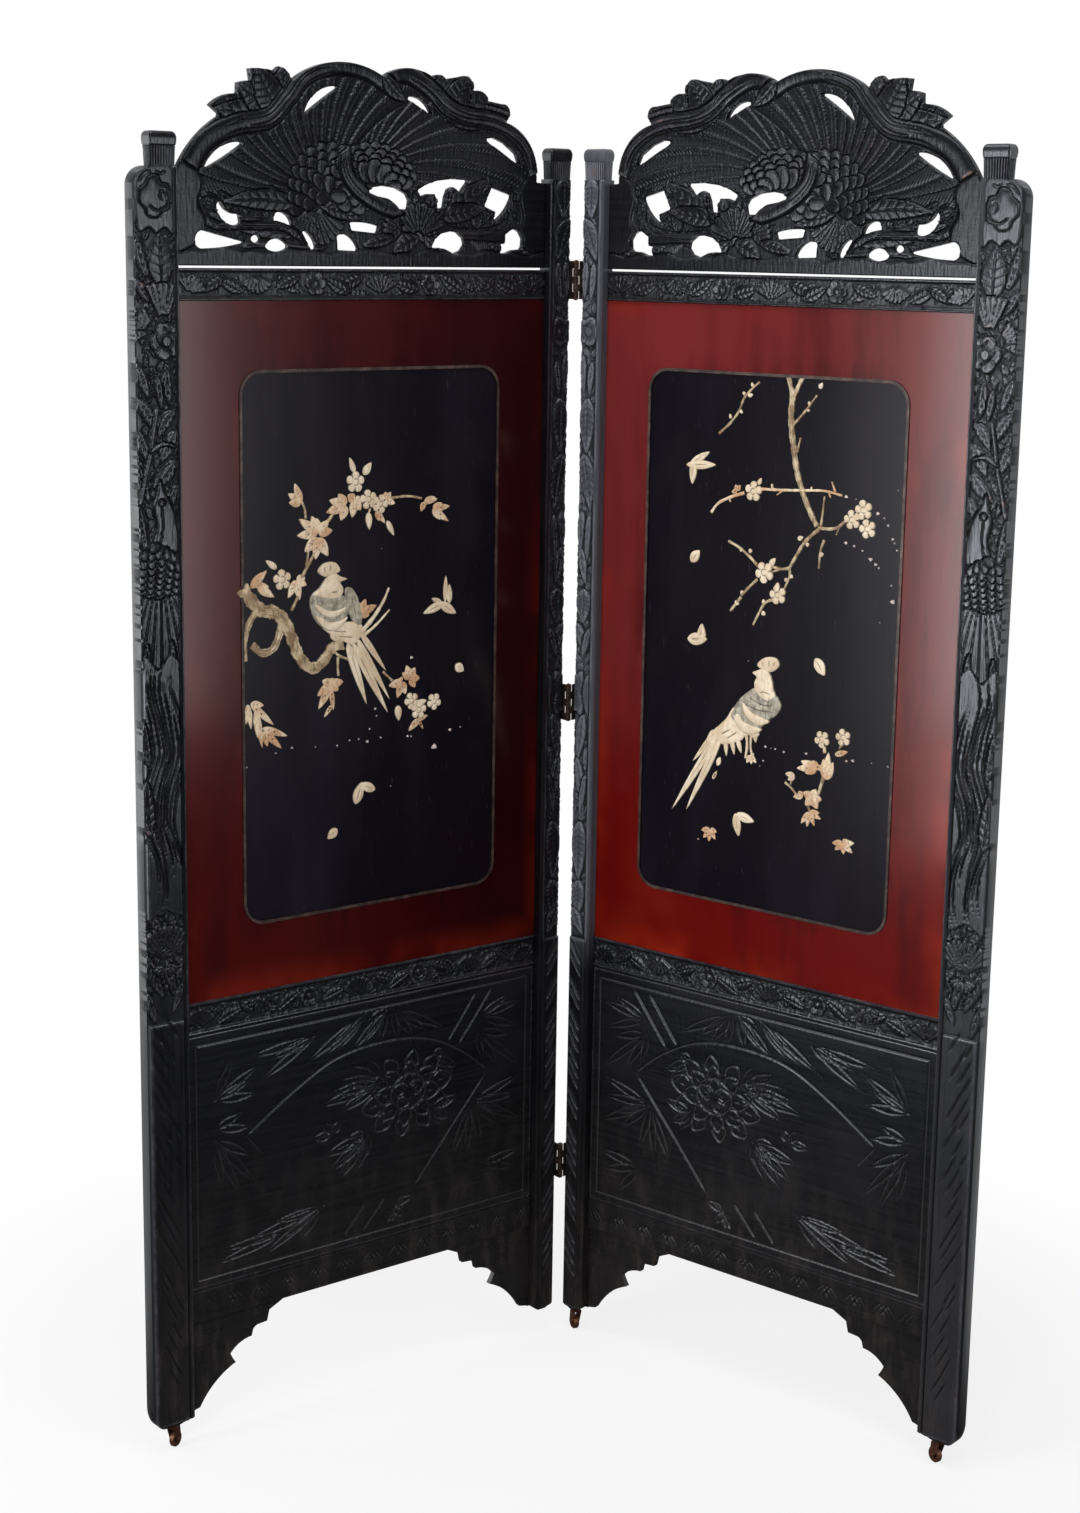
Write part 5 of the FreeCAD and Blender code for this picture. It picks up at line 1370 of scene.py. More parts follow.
def finial(leaf, which):
    node = f"{leaf.hand}_{which}_finial"
    low, high = leaf.limits(node)
    spots = leaf.spots(node)
    foot = leaf.limits(f"{leaf.hand}_{which}_stile")[1][2]
    middle, wide = (low + high) / 2, (high - low)[:2] / 2
    at_foot = spots[np.abs(spots[:, 2] - foot) < 0.1]
    narrow = (at_foot.max(0) - at_foot.min(0))[:2] / 2
    around = round_oblong()
    reed, corner = around[:, 2], 1.2 * (1 - around[:, 3])
    rings = []
    for share in LEVELS:
        flare = min(1.0, max(0.0, (share - 0.55) / 0.2)) ** 0.6
        grow = 0.35 * min(1.0, share / 0.55) + 0.65 * flare
        crown = max(0.0, (share - 0.8) / 0.2)
        size = narrow + (wide - narrow) * grow - 5.0 * (1 - math.sqrt(max(0.0, 1 - crown ** 2)))
        cut = 1.7 * (1 - reed) * (share < REED_TOP) + 0.8 * (0.56 < share < 0.6)
        ring = around[:, :2] * (size - (cut + corner)[:, None])
        level = np.full(len(ring), foot + (high[2] - foot) * share)
        rings.append(np.column_stack([middle[0] + ring[:, 0], middle[1] + ring[:, 1], level]))
    n, last = len(around), len(LEVELS) - 1
    faces = [(k + r * n, (k + 1) % n + r * n, (k + 1) % n + (r + 1) * n, k + (r + 1) * n)
             for r in range(last) for k in range(n)]
    faces += [tuple(range(last * n, (last + 1) * n)), tuple(range(n - 1, -1, -1))]
    # Reed crests get the ridge mark (rubbing wear and painted highlight), their grooves the hollow mark (painted
    # shade).
    ridge = [reed * 0.8 * (share < REED_TOP) + 0.3 * (share > REED_TOP) for share in LEVELS]
    hollow = [(1 - reed) * (share < REED_TOP) for share in LEVELS]
    pile = Pile()
    pile.add(np.concatenate(rings), faces, np.concatenate(ridge), np.concatenate(hollow))
    return pile.make(f"{node}_reeded", leaf, upright(leaf, which), "black_wood", node, crease=50)


for leaf in leaves.values():
    for which in ("inner", "outer"):
        finial(leaf, which)

# %% [markdown]
# The inlay is bone, horn and stained wood, sawn out in small plates that stand proud of the black
# field with rounded edges and engraved lines. Each plate is a small relief of its own: pointed
# ovals for petals, leaf lobes and feathers, strips for limbs, rounds for blossoms, and free
# outlines for the birds.

# %% Finishes of the inlay


def horn(name, first, second, third, spread, rough):
    """Mottled bone, horn or stained wood, darker in the engraved lines and in a painted shadow line round each
    plate's rim.
    """
    made = Finish(name, Specular_IOR_Level=0.4)
    cloud = made.noise(made.place(), spread, 4.0, 0.6)
    streak = made.noise(made.stretched((260.0, 260.0, 70.0)), 1.0, 3.0)
    tone = made.mix(cloud.step(0.38, 0.62), paint(*first), paint(*second))
    tone = made.mix(streak.step(0.48, 0.7) * 0.6, tone, paint(*third))
    hollow = made.marks("hollow")
    # Engraved lines are darker, and the rims' painted shadow line comes through the same mark.
    tone = made.mix(hollow.step(0.1, 0.55) * 0.9, tone, paint(48, 38, 33))
    made.link("Base Color", tone)
    made.link("Roughness", rough + cloud * 0.2)
    made.bump(streak, 0.0003, 0.3)
    return made.material


BONE = horn("bone", (214, 192, 162), (236, 220, 194), (196, 170, 140), 30.0, 0.3)
PEARL_GREY = horn("grey_horn", (146, 138, 122), (188, 180, 162), (84, 78, 68), 130.0, 0.35)
TAN = horn("tan_horn", (206, 164, 126), (236, 216, 186), (170, 124, 90), 28.0, 0.35)
BARK = horn("mottled_bark", (150, 122, 90), (214, 194, 160), (66, 50, 38), 70.0, 0.4)
GLUE = horn("old_glue", (176, 160, 158), (226, 214, 208), (140, 122, 124), 160.0, 0.6)
print("five inlay finishes")

# %% [markdown]
# Old inlay isn't flat: each plate is a little domed, its edge is rounded by wear, and a graver has
# cut lines in it. A plate is sawn by the same tools as the boards, on a finer grid.

# %% Sawing the plates


class Inlay(Pile):
    """The plates of one material on one leaf's field."""

    def __init__(self, leaf, floor):
        super().__init__()
        self.leaf, self.floor = leaf, floor

    def plate(self, outline, top, lines=(), step=1.0, crown=1.3, width=1.1):
        """One plate with a domed top and engraved lines."""
        room = step * 2
        relief = Relief(outline.min(0) - room, outline.max(0) + room, step)
        across, up = np.meshgrid(relief.u, relief.z, indexing="ij")
        inside = np.clip(inside_of(across, up, ring_edges(outline), signed=True), 0, 20)
        relief.h = top - crown * np.exp(-inside / 2.2)
        # Painted shadow line along the plate's rim, carried by the hollow mark.
        relief.shade = 0.3 * np.exp(-inside / 1.1)
        for line in lines:
            relief.groove(smooth(line, 2.0), width, 1.1, taper=0.2)
        self.board(relief, ring_edges(outline), self.floor, self.floor + 0.05, arris=0.5)

    def oval(self, base, tip, width, top=2.0, fat=0.75, veins=1):
        """A pointed oval from base to tip."""
        base, tip = np.asarray(base, float), np.asarray(tip, float)
        way = tip - base
        side = np.array([-way[1], way[0]]) / np.linalg.norm(way)
        s = np.linspace(0, 1, 15)
        half = width / 2 * np.sin(math.pi * s ** fat) ** 0.75
        one = base + way * s[:, None] + side * half[:, None]
        other = base + way * s[::-1][1:-1, None] - side * half[::-1][1:-1, None]
        lines = [[base + way * 0.12, base + way * 0.82]] if veins else []
        if veins > 1:
            lines += [[base + way * a, base + way * (a + 0.2) + side * half.max() * b * 0.7]
                      for a in (0.2, 0.42) for b in (-1, 1)]
        self.plate(np.concatenate([one, other]), top, lines, step=0.9)

    def limb(self, points, width, top=2.0, thin=0.6, lines=0):
        """A strip along a path, thinner towards its end."""
        path = smooth(points, 2.5)
        side = across_of(path)
        share = np.linspace(0, 1, len(path))
        knots = 1 + 0.1 * np.sin(share * len(path) * 0.9) + 0.07 * np.sin(share * len(path) * 2.3)
        half = (width / 2 * (1 - (1 - thin) * share) * knots)[:, None]
        engraved = [path + side * half * k for k in np.linspace(-0.5, 0.5, lines)]
        outline = np.concatenate([path + side * half, (path - side * half)[::-1]])
        self.plate(outline, top, engraved, step=0.9)

    def flower(self, centre, radius, top=2.3, lobes=5, turn=0.3):
        """A blossom: lobes round a ring and a boss."""
        angles = np.linspace(0, 2 * math.pi, 60, endpoint=False)
        wave = np.abs(np.cos((angles - turn) * lobes / 2))
        edge = radius * (0.64 + 0.36 * wave ** 0.55)
        outline = centre + edge[:, None] * np.stack([np.cos(angles), np.sin(angles)], axis=1)

        def spot(share, angle):
            return (centre[0] + radius * share * math.cos(angle),
                    centre[1] + radius * share * math.sin(angle))

        ring = [spot(0.3, angle) for angle in np.linspace(0, NEARLY_ROUND, 13)]
        clefts = [[spot(share, angle) for share in (0.4, 0.8)]
                  for angle in turn + (np.arange(lobes) + 0.5) * 2 * math.pi / lobes]
        self.plate(outline, top, [ring] + clefts, step=0.9, crown=1.2)

    def leaves(self, base, tips, width, top=2.0):
        """Lobes that share a base, as on a maple or vine leaf."""
        for tip in tips:
            self.oval(base, tip, width * 0.92, top, veins=2)

    def form(self, outline, top, lines=(), step=1.2):
        self.plate(smooth(outline, 2.5, closed=True), top, lines, step)


print("plates of", len(SIDES), "fields can be sawn")

# %% [markdown]
# The right field shows blossoming boughs that come down from the top, a long-tailed bird that
# looks left, and butterflies and loose petals. Here and there only old glue is left where a piece
# has fallen off.

# %% Right field
RIGHT = {
    "boughs": [([(353, 1442), (357, 1428), (361, 1416)], 7.5, 1.0),
        ([(375, 1442), (368, 1428), (362, 1416)], 6.5, 1.0),
        ([(361, 1420), (359, 1395), (361, 1370), (366, 1343), (372, 1316), (384, 1286), (396, 1264),
        (406, 1249)], 9.5, 0.8),
        ([(364, 1380), (380, 1397), (398, 1419)], 3.8, 0.7), ([(370, 1343), (375, 1363)], 3.4, 0.7),
        ([(243, 1360), (262, 1376), (275, 1392), (283, 1410), (298, 1425), (307, 1432)], 3.8, 0.8),
        ([(407, 1247), (425, 1247), (438, 1250), (450, 1260)], 5.0, 0.8),
        ([(441, 1252), (436, 1240)], 3.0, 0.6), ([(412, 1250), (414, 1270), (416, 1289)], 4.0, 0.6),
        ([(409, 1245), (390, 1229), (378, 1212), (365, 1190)], 5.6, 0.8),
        ([(366, 1190), (352, 1187), (335, 1189)], 4.4, 0.9),
        ([(356, 1188), (340, 1183), (330, 1181)], 3.2, 0.8),
        ([(316, 1186), (300, 1199), (282, 1210), (264, 1217)], 4.6, 0.8),
        ([(314, 1170), (302, 1159), (288, 1145)], 4.0, 0.9), ([(288, 1143), (271, 1122)], 4.6, 0.8),
        ([(365, 1192), (365, 1178), (357, 1160)], 4.0, 0.7),
        ([(342, 1146), (326, 1137), (309, 1107)], 4.6, 0.7),
        ([(418, 1232), (413, 1218), (411, 1193)], 4.0, 0.6), ([(431, 957), (432, 948)], 5.0, 1.0),
        ([(432, 916), (428, 903), (424, 890)], 6.0, 0.7),
        ([(370, 899), (380, 893), (390, 884)], 3.6, 0.9), ([(460, 965), (454, 957)], 3.5, 0.8),
        ([(382, 906), (379, 897)], 3.0, 0.8), ([(408, 874), (412, 864)], 4.0, 0.8)],
    "reddish": [([(234, 1253), (245, 1266), (262, 1275), (288, 1284)], 4.0, 1.2),
        ([(314, 1291), (345, 1292), (380, 1294), (415, 1296), (443, 1292)], 4.0, 0.8),
        ([(333, 1292), (332, 1299)], 4.0, 0.8), ([(352, 1293), (340, 1285)], 2.6, 0.7),
        ([(432, 1296), (426, 1309)], 3.6, 0.7), ([(394, 1295), (395, 1300)], 3.0, 0.7),
        ([(262, 1276), (266, 1270)], 3.0, 0.8), ([(422, 1295), (425, 1288)], 3.0, 0.8)],
    "flowers": [((303, 1287), 14), ((325, 1180), 15), ((348, 1152), 13.5), ((460, 1262), 13),
        ((477, 1276), 13.5), ((484, 1252), 13), ((427, 966), 12), ((460, 973), 12)],
    "buds": [((310, 1296), (315, 1306), 7), ((333, 1190), (342, 1201), 9),
        ((346, 1160), (347, 1169), 8), ((262, 1381), (260, 1388), 5), ((276, 1394), (281, 1389), 5),
        ((284, 1414), (280, 1418), 5), ((288, 1413), (297, 1415), 6), ((296, 1425), (294, 1431), 5),
        ((384, 1409), (389, 1408), 5), ((386, 1401), (384, 1397), 5), ((401, 1428), (406, 1436), 7),
        ((376, 1229), (385, 1233), 7), ((389, 1223), (395, 1224), 6), ((302, 1204), (299, 1210), 6),
        ((287, 1209), (284, 1204), 5), ((366, 1180), (371, 1177), 6), ((362, 1172), (357, 1175), 6),
        ((328, 1141), (322, 1139), 8), ((322, 1126), (329, 1123), 7), ((411, 1212), (418, 1213), 7),
        ((288, 1152), (291, 1146), 6), ((283, 1137), (279, 1131), 8)],
    "wings": [((190, 1315), (240, 1318), 13), ((196, 1316), (229, 1335), 11),
        ((203, 1322), (201, 1289), 13), ((200, 1076), (234, 1079), 18),
        ((224, 1071), (224, 1100), 15), ((202, 1183), (217, 1200), 15),
        ((411, 1074), (427, 1052), 17), ((290, 843), (297, 811), 14), ((291, 842), (322, 836), 14),
        ((257, 905), (262, 918), 8), ((386, 910), (370, 911), 9), ((386, 908), (374, 903), 7)],
    "leaves": [((448, 948), [(468, 955)], 9),
        ((420, 926), [(388, 921), (394, 932), (402, 916), (412, 935)], 13),
        ((413, 928), [(446, 925)], 9), ((435, 912), [(438, 950), (430, 940), (446, 938)], 15),
        ((400, 884), [(384, 881), (392, 890)], 9),
        ((415, 884), [(400, 890), (404, 872), (420, 897), (430, 884), (424, 870)], 14),
        ((411, 864), [(398, 846), (408, 843), (420, 846), (430, 857), (428, 865)], 9),
        ((466, 830), [(449, 828), (454, 819), (468, 815), (482, 819), (484, 833), (474, 836)], 10),
        ((248, 813), [(233, 810), (237, 799), (247, 795), (258, 800), (260, 811)], 9),
        ((250, 885), [(257, 898)], 6), ((276, 1286), [(267, 1283), (273, 1294), (281, 1294)], 8),
        ((312, 928), [(306, 916), (314, 915), (322, 918), (318, 930)], 8)],
    "glue": [(449, 1291, 6), (464, 1289, 3), (498, 1273, 6), (508, 1268, 4), (514, 1259, 5),
        (522, 1242, 5), (525, 1237, 4), (529, 1228, 4), (451, 1231, 6), (464, 1228, 5),
        (477, 1223, 4), (490, 1213, 7), (498, 1207, 6), (503, 1203, 4), (523, 1182, 4),
        (526, 1161, 8), (508, 1132, 3), (336, 943, 5), (345, 942, 3), (352, 942, 4), (366, 940, 5),
        (402, 943, 5), (466, 942, 5), (476, 944, 6), (505, 945, 3), (530, 944, 4), (541, 943, 3),
        (333, 923, 4), (328, 915, 3), (303, 1057, 3), (228, 796, 4), (280, 1134, 4),
        (527, 1305, 3)],
    "scratch": [[(450, 800), (459, 797), (468, 789), (482, 786), (502, 789)]]}
RIGHT_BIRD = {
    "grey": [([(318, 1022), (306, 1016), (292, 1004), (282, 990), (276, 976), (290, 962),
        (306, 956), (322, 962), (338, 978), (352, 988), (360, 1000), (357, 1010), (349, 1016),
        (336, 1012)], 2.3, [[(300, 1010), (330, 1000), (354, 1002)],
        [(292, 1000), (322, 992), (350, 992)]])],
    "bone": [([(284, 992), (270, 974), (258, 962), (248, 950), (256, 940), (266, 936), (282, 940),
        (296, 946), (306, 955), (318, 952), (326, 960), (312, 968), (296, 974)], 2.1,
        [[(262, 950), (280, 960)], [(270, 944), (292, 958)]]),
        ([(311, 1042), (318, 1046), (328, 1050), (338, 1047), (344, 1036), (347, 1024), (350, 1014),
        (338, 1006), (324, 1010), (316, 1020), (315, 1030), (318, 1037)], 2.7,
        [[(322, 1014), (332, 1018), (344, 1014)]]),
        ([(318, 1053), (325, 1062), (337, 1067), (350, 1066), (355, 1058), (349, 1050), (340, 1046),
        (328, 1048)], 2.4, [[(326, 1060), (330, 1052)], [(338, 1064), (338, 1052)],
        [(348, 1062), (345, 1054)]]),
        ([(297, 1000), (300, 986), (310, 976), (326, 971), (342, 978), (332, 983), (316, 987),
        (306, 994)], 3.6, []),
        ([(284, 979), (289, 966), (301, 958), (317, 958), (330, 966), (315, 970), (300, 974),
        (292, 983)], 3.6, [])],
    "feathers": [((262, 962), (215, 905), 11), ((258, 950), (181, 831), 12),
        ((262, 945), (206, 834), 12), ((250, 955), (232, 920), 9), ((270, 946), (272, 920), 8),
        ((280, 946), (285, 924), 8), ((290, 946), (297, 928), 8), ((318, 962), (320, 946), 9)],
    "legs": [([(304, 958), (306, 940), (304, 922)], 5, 0.8),
        ([(312, 955), (312, 938), (316, 926)], 4, 0.8)]}
print(len(RIGHT["boughs"]) + len(RIGHT["reddish"]), "boughs on the right field")

# %% [markdown]
# The left field has a thick gnarled branch that enters from the outer side, maple leaves along a
# rising bough, and a second bird with folded, banded wings.

# %% Left field
LEFT = {
    "boughs": [([(538, 1166), (524, 1148), (508, 1134), (489, 1130), (473, 1117), (462, 1094),
        (452, 1071), (438, 1054), (424, 1051), (410, 1061), (398, 1075), (380, 1079)], 19, 0.75),
        ([(514, 1136), (527, 1118), (534, 1095), (533, 1069)], 10, 0.6),
        ([(523, 1090), (508, 1078), (491, 1082), (481, 1100), (478, 1118)], 10, 1.1),
        ([(462, 1130), (456, 1140), (451, 1150)], 4.5, 0.9),
        ([(446, 1172), (436, 1188), (424, 1206)], 5.0, 0.9),
        ([(438, 1188), (436, 1202), (435, 1216)], 4.0, 0.9),
        ([(439, 1250), (441, 1264), (447, 1275)], 3.6, 0.9), ([(405, 1244), (394, 1256)], 4.5, 0.9),
        ([(303, 1270), (276, 1271), (252, 1267)], 3.6, 0.9),
        ([(402, 1078), (388, 1064), (371, 1057)], 4.0, 0.9),
        ([(389, 1062), (389, 1046), (388, 1036)], 4.0, 0.9), ([(316, 1035), (300, 1021)], 3.6, 0.9),
        ([(339, 1252), (337, 1258)], 3.0, 1.0)],
    "reddish": [],
    "flowers": [((361, 1294), 14.5), ((340, 1270), 13.5), ((321, 1263), 13), ((476, 1172), 14),
        ((268, 990), 12), ((256, 976), 13), ((230, 985), 12)],
    "buds": [((362, 1306), (370, 1327), 9), ((348, 1303), (335, 1319), 12),
        ((340, 1253), (338, 1229), 11), ((310, 1240), (298, 1219), 9),
        ((484, 1187), (501, 1199), 9), ((291, 986), (289, 964), 12), ((262, 984), (242, 988), 10)],
    "wings": [((194, 1033), (179, 1023), 14), ((390, 826), (406, 814), 14),
        ((361, 856), (350, 886), 17), ((328, 872), (354, 884), 14), ((213, 1122), (249, 1109), 13),
        ((222, 1122), (193, 1105), 14), ((205, 1119), (205, 1147), 10),
        ((212, 1121), (211, 1159), 8), ((217, 1121), (235, 1129), 8)],
    "leaves": [((446, 1271), [(456, 1297), (466, 1284), (465, 1272)], 13),
        ((420, 1230), [(450, 1250), (453, 1228), (430, 1253), (422, 1250), (397, 1232),
        (403, 1246)], 15),
        ((420, 1224), [(441, 1206), (424, 1195), (404, 1198)], 17),
        ((376, 1264), [(407, 1256), (402, 1272), (388, 1280), (384, 1244)], 16),
        ((362, 1270), [(352, 1256), (373, 1278), (366, 1247), (350, 1268)], 15),
        ((312, 1268), [(296, 1262), (303, 1278), (312, 1279)], 10),
        ((327, 1254), [(322, 1240), (312, 1236)], 9),
        ((248, 1262), [(254, 1249), (240, 1262), (230, 1268), (226, 1265)], 10),
        ((234, 1252), [(221, 1236), (207, 1233), (205, 1254), (218, 1259)], 11),
        ((454, 1170), [(467, 1147), (449, 1143), (438, 1162), (440, 1172)], 13),
        ((524, 1164), [(499, 1186), (507, 1184)], 12), ((518, 1168), [(496, 1164)], 11),
        ((514, 1164), [(488, 1150), (492, 1156)], 12),
        ((352, 1118), [(357, 1134), (344, 1137), (326, 1127), (338, 1114)], 13),
        ((400, 1026), [(422, 1012), (420, 994), (414, 1032), (396, 1034), (380, 1028), (388, 1016)],
        14),
        ((400, 1020), [(396, 990)], 9), ((398, 998), [(411, 982)], 7),
        ((284, 1018), [(306, 1014), (292, 996), (278, 1000), (290, 1022)], 13),
        ((270, 1022), [(277, 1040), (262, 1036), (254, 1020), (262, 1008), (284, 1030)], 13),
        ((254, 964), [(273, 948)], 11), ((258, 962), [(240, 967)], 8),
        ((256, 962), [(248, 948)], 5), ((530, 1012), [(525, 978), (533, 985)], 10),
        ((526, 1012), [(490, 980), (505, 1008)], 11), ((518, 1004), [(508, 951), (515, 965)], 11),
        ((508, 978), [(469, 963)], 11), ((506, 974), [(478, 947), (500, 952)], 11)],
    "glue": [(487, 942, 4), (462, 946, 5), (425, 943, 3), (390, 941, 4), (370, 946, 4),
        (355, 946, 4), (341, 941, 6), (319, 944, 4), (274, 941, 5), (268, 940, 4), (202, 942, 6),
        (184, 944, 4), (229, 921, 10), (328, 985, 5), (326, 975, 4), (337, 958, 4), (302, 874, 3),
        (268, 1050, 6), (532, 928, 4), (318, 1203, 3)],
    "scratch": [[(415, 958), (409, 968), (404, 982)]]}
LEFT_BIRD = {
    "grey": [([(428, 1150), (434, 1140), (430, 1122), (420, 1108), (406, 1100), (390, 1104),
        (376, 1114), (370, 1128), (380, 1144), (396, 1146), (412, 1148)], 2.3,
        [[(424, 1132), (400, 1122), (378, 1126)]]),
        ([(378, 1152), (368, 1154), (358, 1142), (352, 1124), (350, 1106), (358, 1100), (368, 1112),
        (376, 1130)], 2.2, [[(368, 1144), (360, 1112)]])],
    "bone": [([(416, 1106), (400, 1092), (384, 1084), (366, 1076), (352, 1086), (350, 1102),
        (366, 1108), (386, 1108), (400, 1104)], 2.1,
        [[(400, 1098), (372, 1094)], [(392, 1090), (362, 1086)]]),
        ([(374, 1166), (384, 1170), (396, 1176), (408, 1170), (418, 1158), (430, 1148), (412, 1143),
        (396, 1140), (382, 1146), (381, 1156), (385, 1162)], 2.7, [[(388, 1150), (402, 1150)]]),
        ([(421, 1179), (414, 1188), (402, 1191), (391, 1188), (385, 1178), (396, 1173),
        (410, 1171)], 2.4, [[(412, 1185), (410, 1176)], [(401, 1188), (401, 1177)],
        [(391, 1184), (393, 1177)]]),
        ([(426, 1120), (415, 1105), (400, 1098), (385, 1102), (374, 1115), (389, 1111), (404, 1111),
        (414, 1117)], 3.6, []),
        ([(428, 1136), (416, 1122), (402, 1116), (388, 1118), (376, 1128), (390, 1126), (404, 1126),
        (416, 1132)], 3.6, [])],
    "feathers": [((374, 1080), (342, 992), 14), ((366, 1080), (307, 977), 14),
        ((360, 1086), (304, 995), 11), ((353, 1092), (310, 1035), 10),
        ((400, 1096), (384, 1080), 12)],
    "legs": [([(354, 1090), (334, 1108), (316, 1130), (306, 1149)], 8, 0.4),
        ([(346, 1088), (326, 1101), (305, 1119)], 5, 0.5)]}
print(len(LEFT["leaves"]), "leaves on the left field")

# %% [markdown]
# Both fields have the same kinds of motif, so one function lays them. Thick boughs get engraved
# lines along them. All the plates of one material become one piece, with one finish.

# %% Laying the inlay

PLATES = {  # ending of the piece's name, finish, slot, and the packed piece that it stands for
    "bone": ("bird_bone", BONE, "inlay_cream", "bird"),
    "grey": ("bird_wings", PEARL_GREY, "inlay_grey", "bird"),
    "boughs": ("boughs", BARK, "inlay_brown", "branch"),
    "flowers": ("blossoms_and_buds", BONE, "inlay_cream", "blossoms"),
    "tan": ("leaves", TAN, "inlay_tan", "petals"),
    "pale": ("butterflies_and_petals", BONE, "inlay_cream", "petals"),
    "glue": ("old_glue", GLUE, "inlay_grey")}


def lay_inlay(leaf, places, bird):
    floor = leaf.limits(f"{leaf.hand}_bird")[1][1]
    laid = {kind: Inlay(leaf, floor) for kind in PLATES}
    for points, width, thin in places["boughs"]:
        lines = 4 if width > 12 else 2 if width > 8 else 0
        laid["boughs"].limb(points, width, top=2.0 + width * 0.05, thin=thin, lines=lines)
    for points, width, thin in places["reddish"]:
        laid["tan"].limb(points, width, thin=thin)
    for base, tips, width in places["leaves"]:
        laid["tan"].leaves(base, tips, width)
    for centre, radius in places["flowers"]:
        laid["flowers"].flower(centre, radius, turn=centre[0] * 0.37)
    for base, tip, width in places["buds"]:
        laid["flowers"].oval(base, tip, width, veins=0)
    for base, tip, width in places["wings"]:
        laid["pale"].oval(base, tip, width, fat=0.85)
    for u, z, size in places["glue"]:
        a = np.arange(8) * math.pi / 4
        r = size / 2 * (1 + 0.25 * np.sin(a * 3 + u))
        spot = np.stack([u + r * np.cos(a), z + r * np.sin(a) * 0.8], axis=1)
        laid["glue"].form(spot, 1.1, step=0.7)
    for points in places["scratch"]:
        laid["glue"].limb(points, 3.0, top=0.6, thin=0.8)
    for kind in ("grey", "bone"):
        for outline, top, lines in bird[kind]:
            laid[kind].form(outline, top, lines)
    for base, tip, width in bird["feathers"]:
        laid["bone"].oval(base, tip, width, fat=0.6)
    for points, width, thin in bird["legs"]:
        laid["bone"].limb(points, width, thin=thin)
    for kind, (ending, material, slot, *packed) in PLATES.items():
        laid[kind].make(f"{leaf.hand}_{ending}", leaf, material, slot,
                        *(f"{leaf.hand}_{name}" for name in packed))


lay_inlay(leaves["right"], RIGHT, RIGHT_BIRD)
lay_inlay(leaves["left"], LEFT, LEFT_BIRD)

# %% [markdown]
# Studio: a white sweep and six soft lamps. The camera stands where the photograph was taken from,
# a little over three metres in front of the hinge and at eye height.

# %% Camera
YAW, PITCH, ROLL = math.radians(-0.57), math.radians(-11.84), math.radians(0.91)
EYE = Vector((-4.65, -3477.35 + hinge[1], 1612.9)) * MM
forward = Vector((math.sin(YAW) * math.cos(PITCH), math.cos(YAW) * math.cos(PITCH),
                  math.sin(PITCH)))
level = Vector((math.cos(YAW), -math.sin(YAW), 0.0))
over = level.cross(forward)
right = math.cos(ROLL) * level + math.sin(ROLL) * over
top = -math.sin(ROLL) * level + math.cos(ROLL) * over
eye = bpy.data.cameras.new("studio_camera")
eye.lens, eye.sensor_width, eye.sensor_fit = 58.73, 36.0, "AUTO"
camera = bpy.data.objects.new("studio_camera", eye)
bpy.context.scene.collection.objects.link(camera)
turned = Matrix((right, top, -forward)).transposed().to_4x4()
camera.matrix_world = Matrix.Translation(EYE) @ turned
bpy.context.scene.camera = camera
print("camera at", [round(v, 3) for v in camera.location])

# %% [markdown]
# The floor is white paper. To the camera it glows a little, so that it meets the white air
# without an edge, and what the lacquer mirrors of it is dark near the screen, as a room would be.
# The air is white behind the screen and for the camera, and dimmer on the camera's side.

# %% Floor and air


def grey(level):
    return level, level, level, 1.0


scene = bpy.context.scene
scene.view_settings.view_transform = "Standard"
bpy.ops.mesh.primitive_plane_add(size=30.0, location=(0.0, 0.0, 0.0))
floor = bpy.context.object
floor.name = "studio_floor"
paper = Finish("white_sweep", Roughness=0.9, Specular_IOR_Level=0.0)
paper.link("Base Color", paper.mix(paper.noise(paper.place(), 2.0, 2.0), grey(0.86), grey(0.88)))
side, back = paper.axis("X"), paper.axis("Y")
away = ((side * side + back * back) ** 0.5).step(0.5, 1.3)
mirrored = paper.ray("Glossy")
eyes = paper.ray("Camera").most(mirrored)
beside = side.size().step(0.7, 1.0) * back.step(-0.3, -0.1)
dim = mirrored * (1 - back.step(0.2, 1.6).most(beside))
tone = paper.mix(dim, grey(1.0), grey(0.05))
glow = paper.node("Emission", {}, {"Color": tone, "Strength": 1.0}, "Emission")
lit = Sum(paper, paper.shader.outputs["BSDF"])
share = mirrored.most(eyes * (0.8 + away * 0.2))
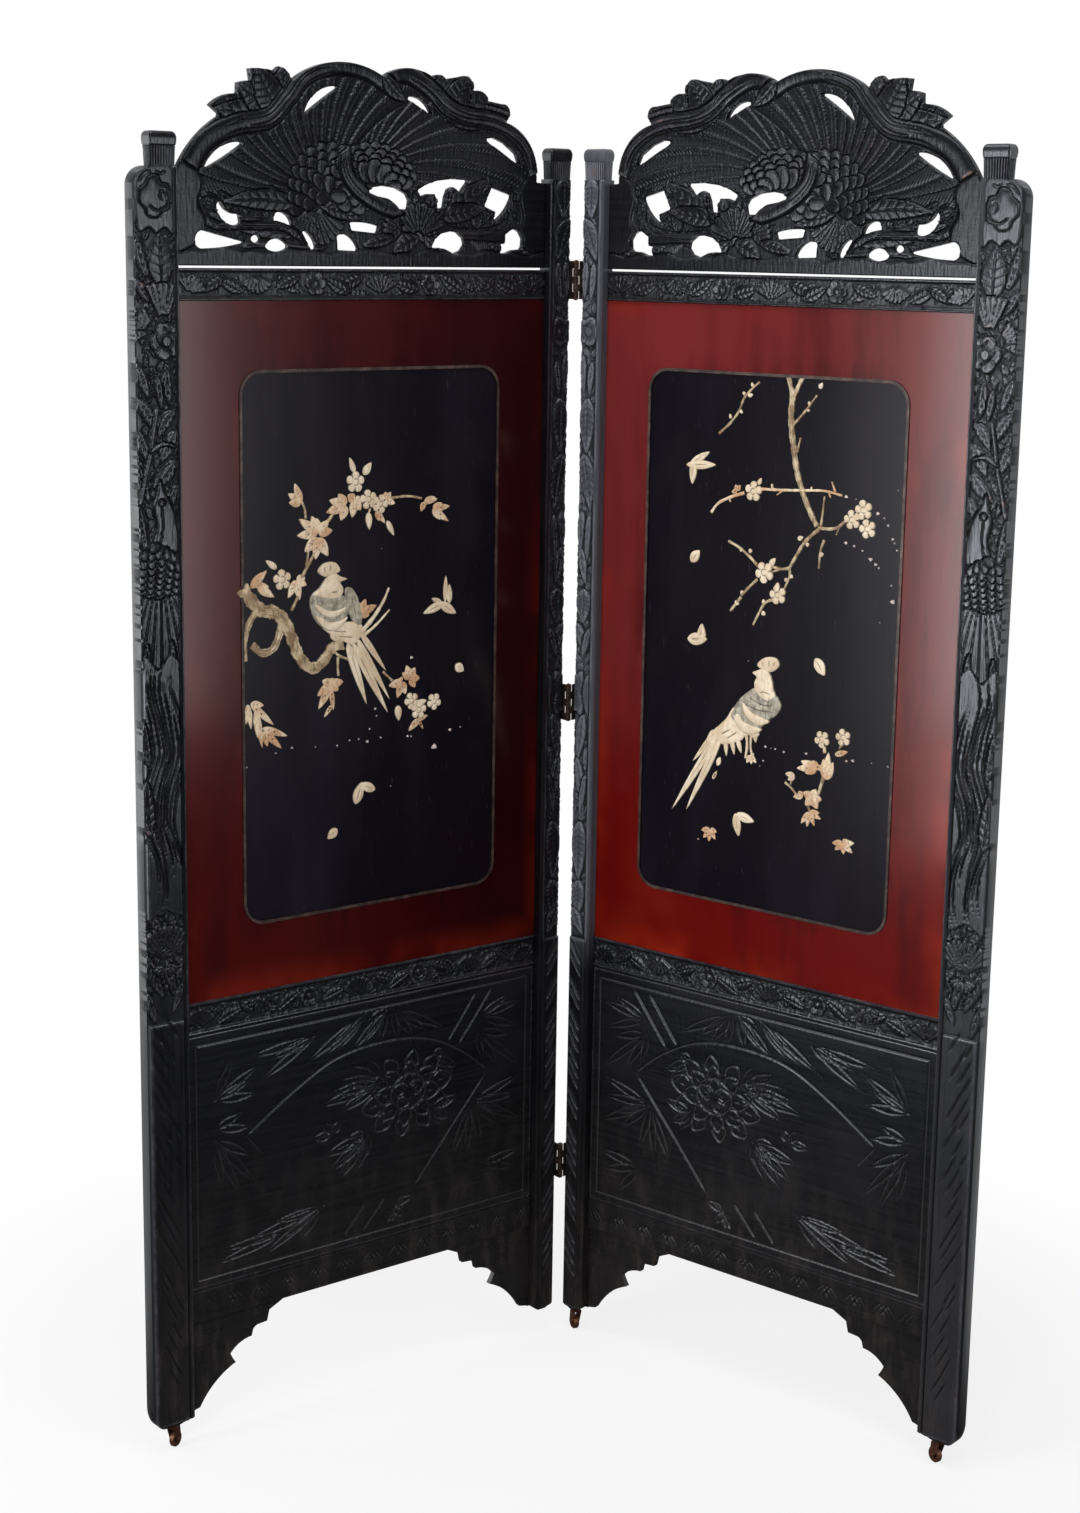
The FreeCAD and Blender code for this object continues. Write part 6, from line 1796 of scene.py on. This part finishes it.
both = paper.node("MixShader", {}, {0: share, 1: lit, 2: glow}, "Shader")
paper.tree.links.new(both.socket, paper.tree.nodes["Material Output"].inputs["Surface"])
floor.data.materials.append(paper.material)


class Air(Finish):
    """The same sums for the world's nodes."""

    def __init__(self, tree):
        self.tree = tree


scene.world = bpy.data.worlds.new("studio_air")
scene.world.use_nodes = True
sky = Air(scene.world.node_tree)
air = sky.tree.nodes["Background"]
air.inputs["Color"].default_value = grey(1.0)
sweep = sky.axis("Y", "Generated").step(-0.1, 0.35)
seen = sky.ray("Camera").most(sky.ray("Transmission"))
shine = sky.ray("Glossy")
strength = seen + (1 - seen) * (shine * (0.04 + sweep * 0.9) + (1 - shine) * 0.22)
sky.tree.links.new(strength.socket, air.inputs["Strength"])
print("floor with", len(paper.tree.nodes), "nodes, air with", len(sky.tree.nodes))

# %% [markdown]
# Low boxes of light at both sides draw long soft lines down the lacquer and the carving. A small
# one in front fills, one behind on the left gives the outer stile its rim, and one hangs above.

# %% Lamps


def lamp(name, place, target, wide, tall, power):
    light = bpy.data.lights.new(name, "AREA")
    light.shape, light.size, light.size_y, light.energy = "RECTANGLE", wide, tall, power
    made = bpy.data.objects.new(name, light)
    bpy.context.scene.collection.objects.link(made)
    made.location = place
    made.rotation_mode = "QUATERNION"
    made.rotation_quaternion = (Vector(target) - Vector(place)).to_track_quat("-Z", "Y")
    return made


lamp("left_softbox", (-2.5, -1.57, 1.1), (0.2, 0.1, 1.0), 0.6, 1.45, 39)
lamp("left_low_softbox", (-2.5, -1.57, 0.2), (0.2, 0.1, 0.4), 0.6, 0.34, 4.5)
lamp("front_softbox", (-0.9, -3.4, 2.4), (0.0, 0.0, 1.2), 0.6, 0.6, 26)
lamp("left_rim", (-2.6, 0.45, 1.1), (-0.53, -0.42, 1.0), 0.8, 2.2, 14)
lamp("right_softbox", (2.5, -1.57, 1.15), (-0.2, 0.1, 1.0), 0.6, 1.6, 19)
lamp("top_softbox", (-0.3, -0.7, 3.4), (0.0, 0.1, 0.9), 2.4, 0.9, 40)
